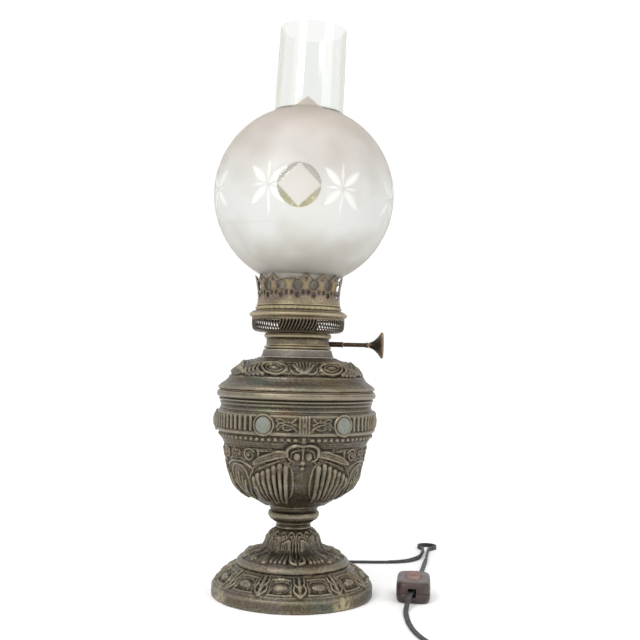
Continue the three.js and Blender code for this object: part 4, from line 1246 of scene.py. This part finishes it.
# From the back of the foot, round a narrow loop with the lead on edge, and on to the switch.
ROUTE_TO_SWITCH = [
    (0, 72, 5.4), (0, 76.2, 5.4), (0.3, 86, 5.2), (1.6, 98, 3.2), (8, 112, FLAT_Z), (22, 124, FLAT_Z),
    (42, 131, FLAT_Z), (66, 133.5, FLAT_Z), (90, 135, FLAT_Z), (111, 138.5, FLAT_Z), (125, 146, 1.6),
    (133.8, 157.5, 2), (138.6, 172, EDGE_Z), (141.6, 186.4, EDGE_Z), (144.2, 200.2, EDGE_Z),
    (144.3, 206.6, EDGE_Z), (142.1, 212.4, EDGE_Z), (140.5, 219.9, EDGE_Z), (144.6, 226.4, EDGE_Z),
    (152.1, 228, EDGE_Z), (158.6, 223.9, EDGE_Z), (160.2, 216.4, EDGE_Z), (156.1, 209.8, EDGE_Z),
    (152, 205.2, EDGE_Z), (149.9, 199, EDGE_Z), (146.8, 181.3, EDGE_Z), (143.2, 160, 2), (139, 137, 1.6),
    (134.6, 114, FLAT_Z), (130.2, 92, FLAT_Z), (125.6, 71, FLAT_Z), (121.6, 53, 2.8),
    at_switch(0.4, 40.5, 6), at_switch(0, 32.5, SWITCH_LEAD_Z), at_switch(0, 26.4, SWITCH_LEAD_Z),
]
ROUTE_TO_COIL = [
    at_switch(0, -18, SWITCH_LEAD_Z), at_switch(-2, -26.4, 9.6), at_switch(-2.9, -31.5, 9),
    at_switch(-4, -38.6, 6.8), (102, -50, 3.4), (100.2, -62, 1.8), (99.6, -78, FLAT_Z), (100, -98, FLAT_Z),
    (102.4, -119, FLAT_Z), (108, -140, FLAT_Z), (116.5, -159, FLAT_Z), (126, -177, FLAT_Z),
    (133.8, -193, FLAT_Z), (137, -204, FLAT_Z),
]
ROUTE_TO_PLUG = [
    (93, -251.6, FLAT_Z), (86, -250.8, 2.2), (78, -248.6, 4.6), (71, -246.8, 6.3), (65.6, -246, PLUG_Z),
    (58, -246, PLUG_Z),
]


def coil_route():
    """Three turns inwards on the table, then three outwards on top of them."""
    points = []
    per_turn = 16
    for k in range(round(COIL_TURNS * per_turn) + 1):
        turn = k / per_turn
        whole = int(turn)
        start, end = COIL_RINGS[whole:whole + 2]
        step = ease(max(0.0, (turn - whole - 1) / CROSSING + 1))
        radius = COIL_R + COIL_PITCH * (1 - start - (end - start) * step)
        z = FLAT_Z + COIL_RISE * ease(min(1.0, max(0.0, (turn - 3) / CROSSING + 1)))
        if turn < 0.22:  # it comes in from outside
            radius += 5.1 * (1 - turn / 0.22) ** 2
        if turn > 6.02:  # it leaves outwards, and goes down to the table
            leave = (turn - 6.02) / 0.25
            radius += 5.2 * leave ** 1.5
            z -= 2.2 * max(0, leave - 0.35) ** 1.6
        a = math.radians(3) - 2 * math.pi * turn
        points.append((COIL_AT.x + radius * math.cos(a), COIL_AT.y + radius * math.sin(a), max(z, FLAT_Z)))
    return points


def lead_roll(x, y):
    """How far the lead is turned on edge, in radians: it stands so in the loop behind the switch."""
    return ease(np.clip((y - 128) / 40, 0, 1) * (x > 100)) * math.pi / 2


def make_lead():
    """The flat twin lead, grooved between its two cores. Returns it and its middle line."""
    route = ROUTE_TO_SWITCH + ROUTE_TO_COIL + coil_route() + ROUTE_TO_PLUG
    line = evenly(smooth_line(route, 8), 2.2)
    roll = lead_roll(line[:, 0], line[:, 1])
    lowest = FLOOR_GAP + LEAD_THICK / 2 + (LEAD_WIDTH - LEAD_THICK) / 2 * np.sin(roll)
    line[:, 2] = np.maximum(line[:, 2], lowest)
    ahead = np.gradient(line, axis=0)
    ahead /= np.linalg.norm(ahead, axis=1, keepdims=True)
    level = np.cross([0, 0, 1.0], ahead)
    level /= np.linalg.norm(level, axis=1, keepdims=True)
    over = np.cross(ahead, level)
    wide = level * np.cos(roll)[:, None] + over * np.sin(roll)[:, None]
    thin = np.cross(ahead, wide)
    core = LEAD_THICK / 2
    offset = LEAD_WIDTH / 2 - core
    turn = np.linspace(0, 2 * math.pi, 20, endpoint=False)
    a = np.where(np.cos(turn) >= 0, offset, -offset) * (np.abs(np.cos(turn)) > 0.12) + core * np.cos(turn)
    b = core * np.sin(turn) * (1 - 0.3 * np.exp(-((a / 0.5) ** 2)))
    points = line[:, None, :] + a[None, :, None] * wide[:, None, :] + b[None, :, None] * thin[:, None, :]
    count = len(turn)
    faces = [grid_faces(len(line), count, False), np.arange(count)[None, ::-1],
             (np.arange(count) + (len(line) - 1) * count)[None, :]]
    mesh = build_mesh("lead_flex", points.reshape(-1, 3), faces)
    nodes = ["lead_lamp_to_switch", "lead_switch_to_coil", "lead_coil", "lead_coil_to_plug"]
    made = add_object("lead_flex", mesh, "stand", nodes, rubber)
    return made, line * MM


def make_coil_tie():
    """A band round the coil's turns."""
    a = math.radians(150)
    out = np.array([math.cos(a), math.sin(a), 0])
    along = np.array([-math.sin(a), math.cos(a), 0])
    section = [(-8.2, 0.25), (-7.9, 5.2), (-6.4, 6.2), (6.4, 6.2), (7.9, 5.2), (8.2, 0.25), (7.0, 0.02),
               (-7.0, 0.02)]
    ring = evenly(section + [section[0]], 0.6)[:-1]
    ring = soften(ring, 0.6, 0.5, True)
    centre = np.array([COIL_AT.x, COIL_AT.y, 0]) + COIL_R * out
    rows = []
    for side, scale in ((-1, 0.9), (-1, 1), (1, 1), (1, 0.9)):  # inner and outer edge of each end
        height = ring[:, 1:] * scale + 0.02
        rows.append(centre + ring[:, :1] * scale * out + height * [0, 0, 1] + 4 * side * along)
    points = np.array(rows).reshape(-1, 3)
    mesh = build_mesh("coil_tie", points, [grid_faces(4, len(ring), True)], 50)
    add_object("coil_tie", mesh, "stand", [], tie_white)


# ---- Switch and plug ----------------------------------------------------------------------------
def plan(half_w, half_l, corner):
    """A rounded rectangle with slightly bowed sides, anticlockwise, evenly spaced."""
    points = []
    for k, (side_x, side_y) in enumerate(((1, 1), (-1, 1), (-1, -1), (1, -1))):
        for a in np.linspace(0, math.pi / 2, 9):
            turn = a + k * math.pi / 2
            points.append((side_x * (half_w - corner) + corner * math.cos(turn),
                           side_y * (half_l - corner) + corner * math.sin(turn)))
    loop = evenly(points + [points[0]], 1.2)[:-1]
    bow = 0.5 * np.cos(loop[:, 1] / half_l * math.pi / 2)
    loop[:, 0] += np.sign(loop[:, 0]) * bow * np.abs(loop[:, 0]) / half_w
    return loop


def moulding(name, nodes, loop, profile, place, turn, cutters):
    """Stacks a plan outline, drawn in by each (inset, height) of the profile, and cuts openings in it."""
    half = np.abs(loop).max(0)
    rows = []
    for inset, z in profile:
        flat = loop * (1 - inset / half)
        rows.append(np.column_stack([flat, np.full(len(flat), z)]))
    count = len(loop)
    faces = [grid_faces(len(rows), count, False), np.arange(count)[None, ::-1],
             (np.arange(count) + (len(rows) - 1) * count)[None, :]]
    mesh = build_mesh(name, np.concatenate(rows), faces, 40)
    for cutter in cutters:
        mesh = carve(mesh, cutter)
    mesh.transform(Matrix.Translation(Vector(place) * MM) @ Matrix.Rotation(turn, 4, "Z"))
    mesh.materials.clear()
    add_object(name, mesh, "stand", nodes, bakelite)


def prism(outline, low, high):
    """The points and faces of an upright block with the given outline, anticlockwise."""
    count = len(outline)
    points = [(x, y, low) for x, y in outline] + [(x, y, high) for x, y in outline]
    faces = [list(range(count))[::-1], list(range(count, 2 * count))]
    faces += [[i, (i + 1) % count, count + (i + 1) % count, count + i] for i in range(count)]
    return points, faces


def carve(mesh, cutter):
    """The mesh with an upright block cut out of it."""
    points, faces = cutter
    block = bpy.data.meshes.new("cutter")
    block.from_pydata([Vector(p) * MM for p in points], [], faces)
    tool = bpy.data.objects.new("cutter", block)
    uncut = bpy.data.objects.new("uncut", mesh)
    for helper in (tool, uncut):
        bpy.context.scene.collection.objects.link(helper)
    step = uncut.modifiers.new("carve", "BOOLEAN")
    step.operation = "DIFFERENCE"
    step.solver = "EXACT"
    step.object = tool
    carved = bpy.data.meshes.new_from_object(uncut.evaluated_get(bpy.context.evaluated_depsgraph_get()))
    for helper in (tool, uncut):
        bpy.data.objects.remove(helper)
    carved.set_sharp_from_angle(angle=math.radians(40))
    return carved


def hexagon(half_w, half_l):
    """A long hexagon with its points at the two sides."""
    near = 0.62 * half_w
    return [(-half_w, 0), (-near, -half_l), (near, -half_l), (half_w, 0), (near, half_l), (-near, half_l)]


def box_outline(half_w, low, high):
    return [(-half_w, low), (half_w, low), (half_w, high), (-half_w, high)]


def make_switch():
    """Base and cover, with the way through for the lead, the rocker's window and two small marks."""
    loop = plan(15, 26, 8)
    place = (SWITCH_AT.x, SWITCH_AT.y, 0)
    lead_way = prism([(-4.6, -28), (2.6, -28), (3.6, 28), (-3.6, 28)], 5.8, 13.6)
    base = [(3.4, 0), (1.7, 0.5), (0.7, 1.7), (0.25, 3.4), (0, 5.6), (0, 8.0), (0.35, 8.5)]
    contact_well = prism(box_outline(10.5, -19, 19), 2.4, 10)
    screw_hole = prism(box_outline(1.9, 13.4, 16.6), -1, 3)
    moulding("switch_lower", ["switch_base"], loop, base, place, SWITCH_TURN,
             [lead_way, contact_well, screw_hole])
    cover = [(0.35, 8.8), (0, 9.3), (0, 13.6), (0.2, 15.8), (0.8, 17.4), (1.9, 18.5), (3.6, 18.95), (6, 19)]
    window = prism(hexagon(7.8, 13.2), 5, 21)
    marks = [prism(box_outline(1.3, low, low + 0.7), 18.5, 21) for low in (15.2, -15.9)]
    moulding("switch_upper", ["switch_cover"], loop, cover, place, SWITCH_TURN, [lead_way, window, *marks])


def make_rocker():
    """A long hexagon with a shallow V across its top and a softened edge."""
    half_w, half_l = 7.2, 12.6
    pivot_z = 14.6
    made = bmesh.new()
    rows = []
    for inset, z_end, z_middle in ((0.5, -1.6, -3.0), (0, -1.2, -2.6), (0, 5.2, 4.0), (0.7, 6.0, 4.8)):
        row = []
        for x, y in hexagon(half_w - inset, half_l - inset):
            z = z_middle + (z_end - z_middle) * abs(y) / half_l
            row.append(made.verts.new(Vector((x, y, z)) * MM))
        rows.append(row)
    for lower, upper in zip(rows, rows[1:]):
        for i in range(6):
            made.faces.new((lower[i], lower[(i + 1) % 6], upper[(i + 1) % 6], upper[i]))
    for row, flip in ((rows[0], True), (rows[-1], False)):
        for face in (row[:4], row[3:] + row[:1]):
            made.faces.new(face[::-1] if flip else face)
    mesh = bpy.data.meshes.new("rocker_key")
    made.to_mesh(mesh)
    made.free()
    tilt = Matrix.Rotation(math.radians(6), 4, "X")
    mesh.transform(Matrix.Translation(Vector((SWITCH_AT.x, SWITCH_AT.y, pivot_z)) * MM)
                   @ Matrix.Rotation(SWITCH_TURN, 4, "Z") @ tilt)
    piece = add_object("rocker_key", mesh, "rocker", ["switch_rocker"], rocker_red)
    edge = piece.modifiers.new("edge", "BEVEL")
    edge.width = 0.5 * MM
    edge.segments = 3


def make_plug():
    """Two-pin plug of pressed bakelite, with a seam, a waist for the fingers and a rubber relief."""
    low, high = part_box("plug_body")
    middle = (low + high) / 2 / MM
    side = [(-17.6, -10), (-16.4, -12.4), (-12, -13), (2, -13), (7, -11.4), (12, -8), (17.6, -6)]
    outline = side + [(x, -y) for x, y in side[::-1]]
    loop = evenly(outline + [outline[0]], 1.2)[:-1]
    loop = soften(loop, 1.2, 1.0, True)
    profile = [(2.6, 0), (0.9, 0.5), (0.2, 1.8), (0, 6.3), (0.5, PLUG_Z), (0, 7.4), (0.2, 12), (0.9, 13.2),
               (2.6, 13.7)]
    screw_well = prism(box_outline(2.1, -2.1, 2.1), 11.9, 15)
    moulding("plug_shell", ["plug_body"], loop, profile, (middle.x, middle.y, 0), 0, [screw_well])
    turned("plug_sleeve", "stand", ["plug_relief"], rubber, [
        (0, 0.3), (4.9, 0.3), (4.9, 2), (4.4, 2.6), (4.6, 4), (4.1, 5), (4.2, 6.6), (3.8, 7.6), (3.9, 9.4),
        (3.5, 10.4), (3.6, 12.4), (3.3, 13.4), (3.3, 20.2), (0, 20.2),
    ], sides=40, spacing=0.4, closed=False, axis_x=True, place=(high.x / MM, middle.y, PLUG_Z))
    for name, y in (("front", -9.3), ("back", 9.3)):
        turned(f"pin_{name}", "stand", [f"plug_pin_{name}"], brass,
               [(0, -19), (1.4, -19), (2, -18), (2, -0.3), (0, -0.3)], sides=32, spacing=0.4, corner=0.2,
               closed=False, axis_x=True, place=(low.x / MM, middle.y + y, PLUG_Z))


# ---- CAD pieces that stay -----------------------------------------------------------------------
def finish_cad_pieces():
    """Gives the CAD nodes that have no piece of their own a better material."""
    kept = (
        (steel, ("tie_rod", "tie_washer_lower", "tie_nut_lower", "tie_washer_upper", "tie_nut_upper",
                 "holder_pipe", "pipe_nut_lower", "pipe_nut_upper", "switch_screw")),
        (plain_brass, ("switch_contact", "spiked_wheel_left", "spiked_wheel_right")),
        (rubber, ("exit_bush", "inner_lead_stand", "inner_lead_font")),
    )
    for finish, nodes in kept:
        for name in nodes:
            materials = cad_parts[name].data.materials
            materials.clear()
            materials.append(finish)


make_camera()
make_stage()
lead_piece, lead_line = make_lead()
PARTS = (
    make_coil_tie, make_plug, make_switch, make_rocker, make_foot, make_bell, make_stem, make_bowl, make_band,
    make_rim, make_cabochons, make_lid, make_font, make_burner, make_basket, make_crown, make_winder,
    make_bulb, make_glass, finish_cad_pieces,
)
for make_part in PARTS:
    make_part()
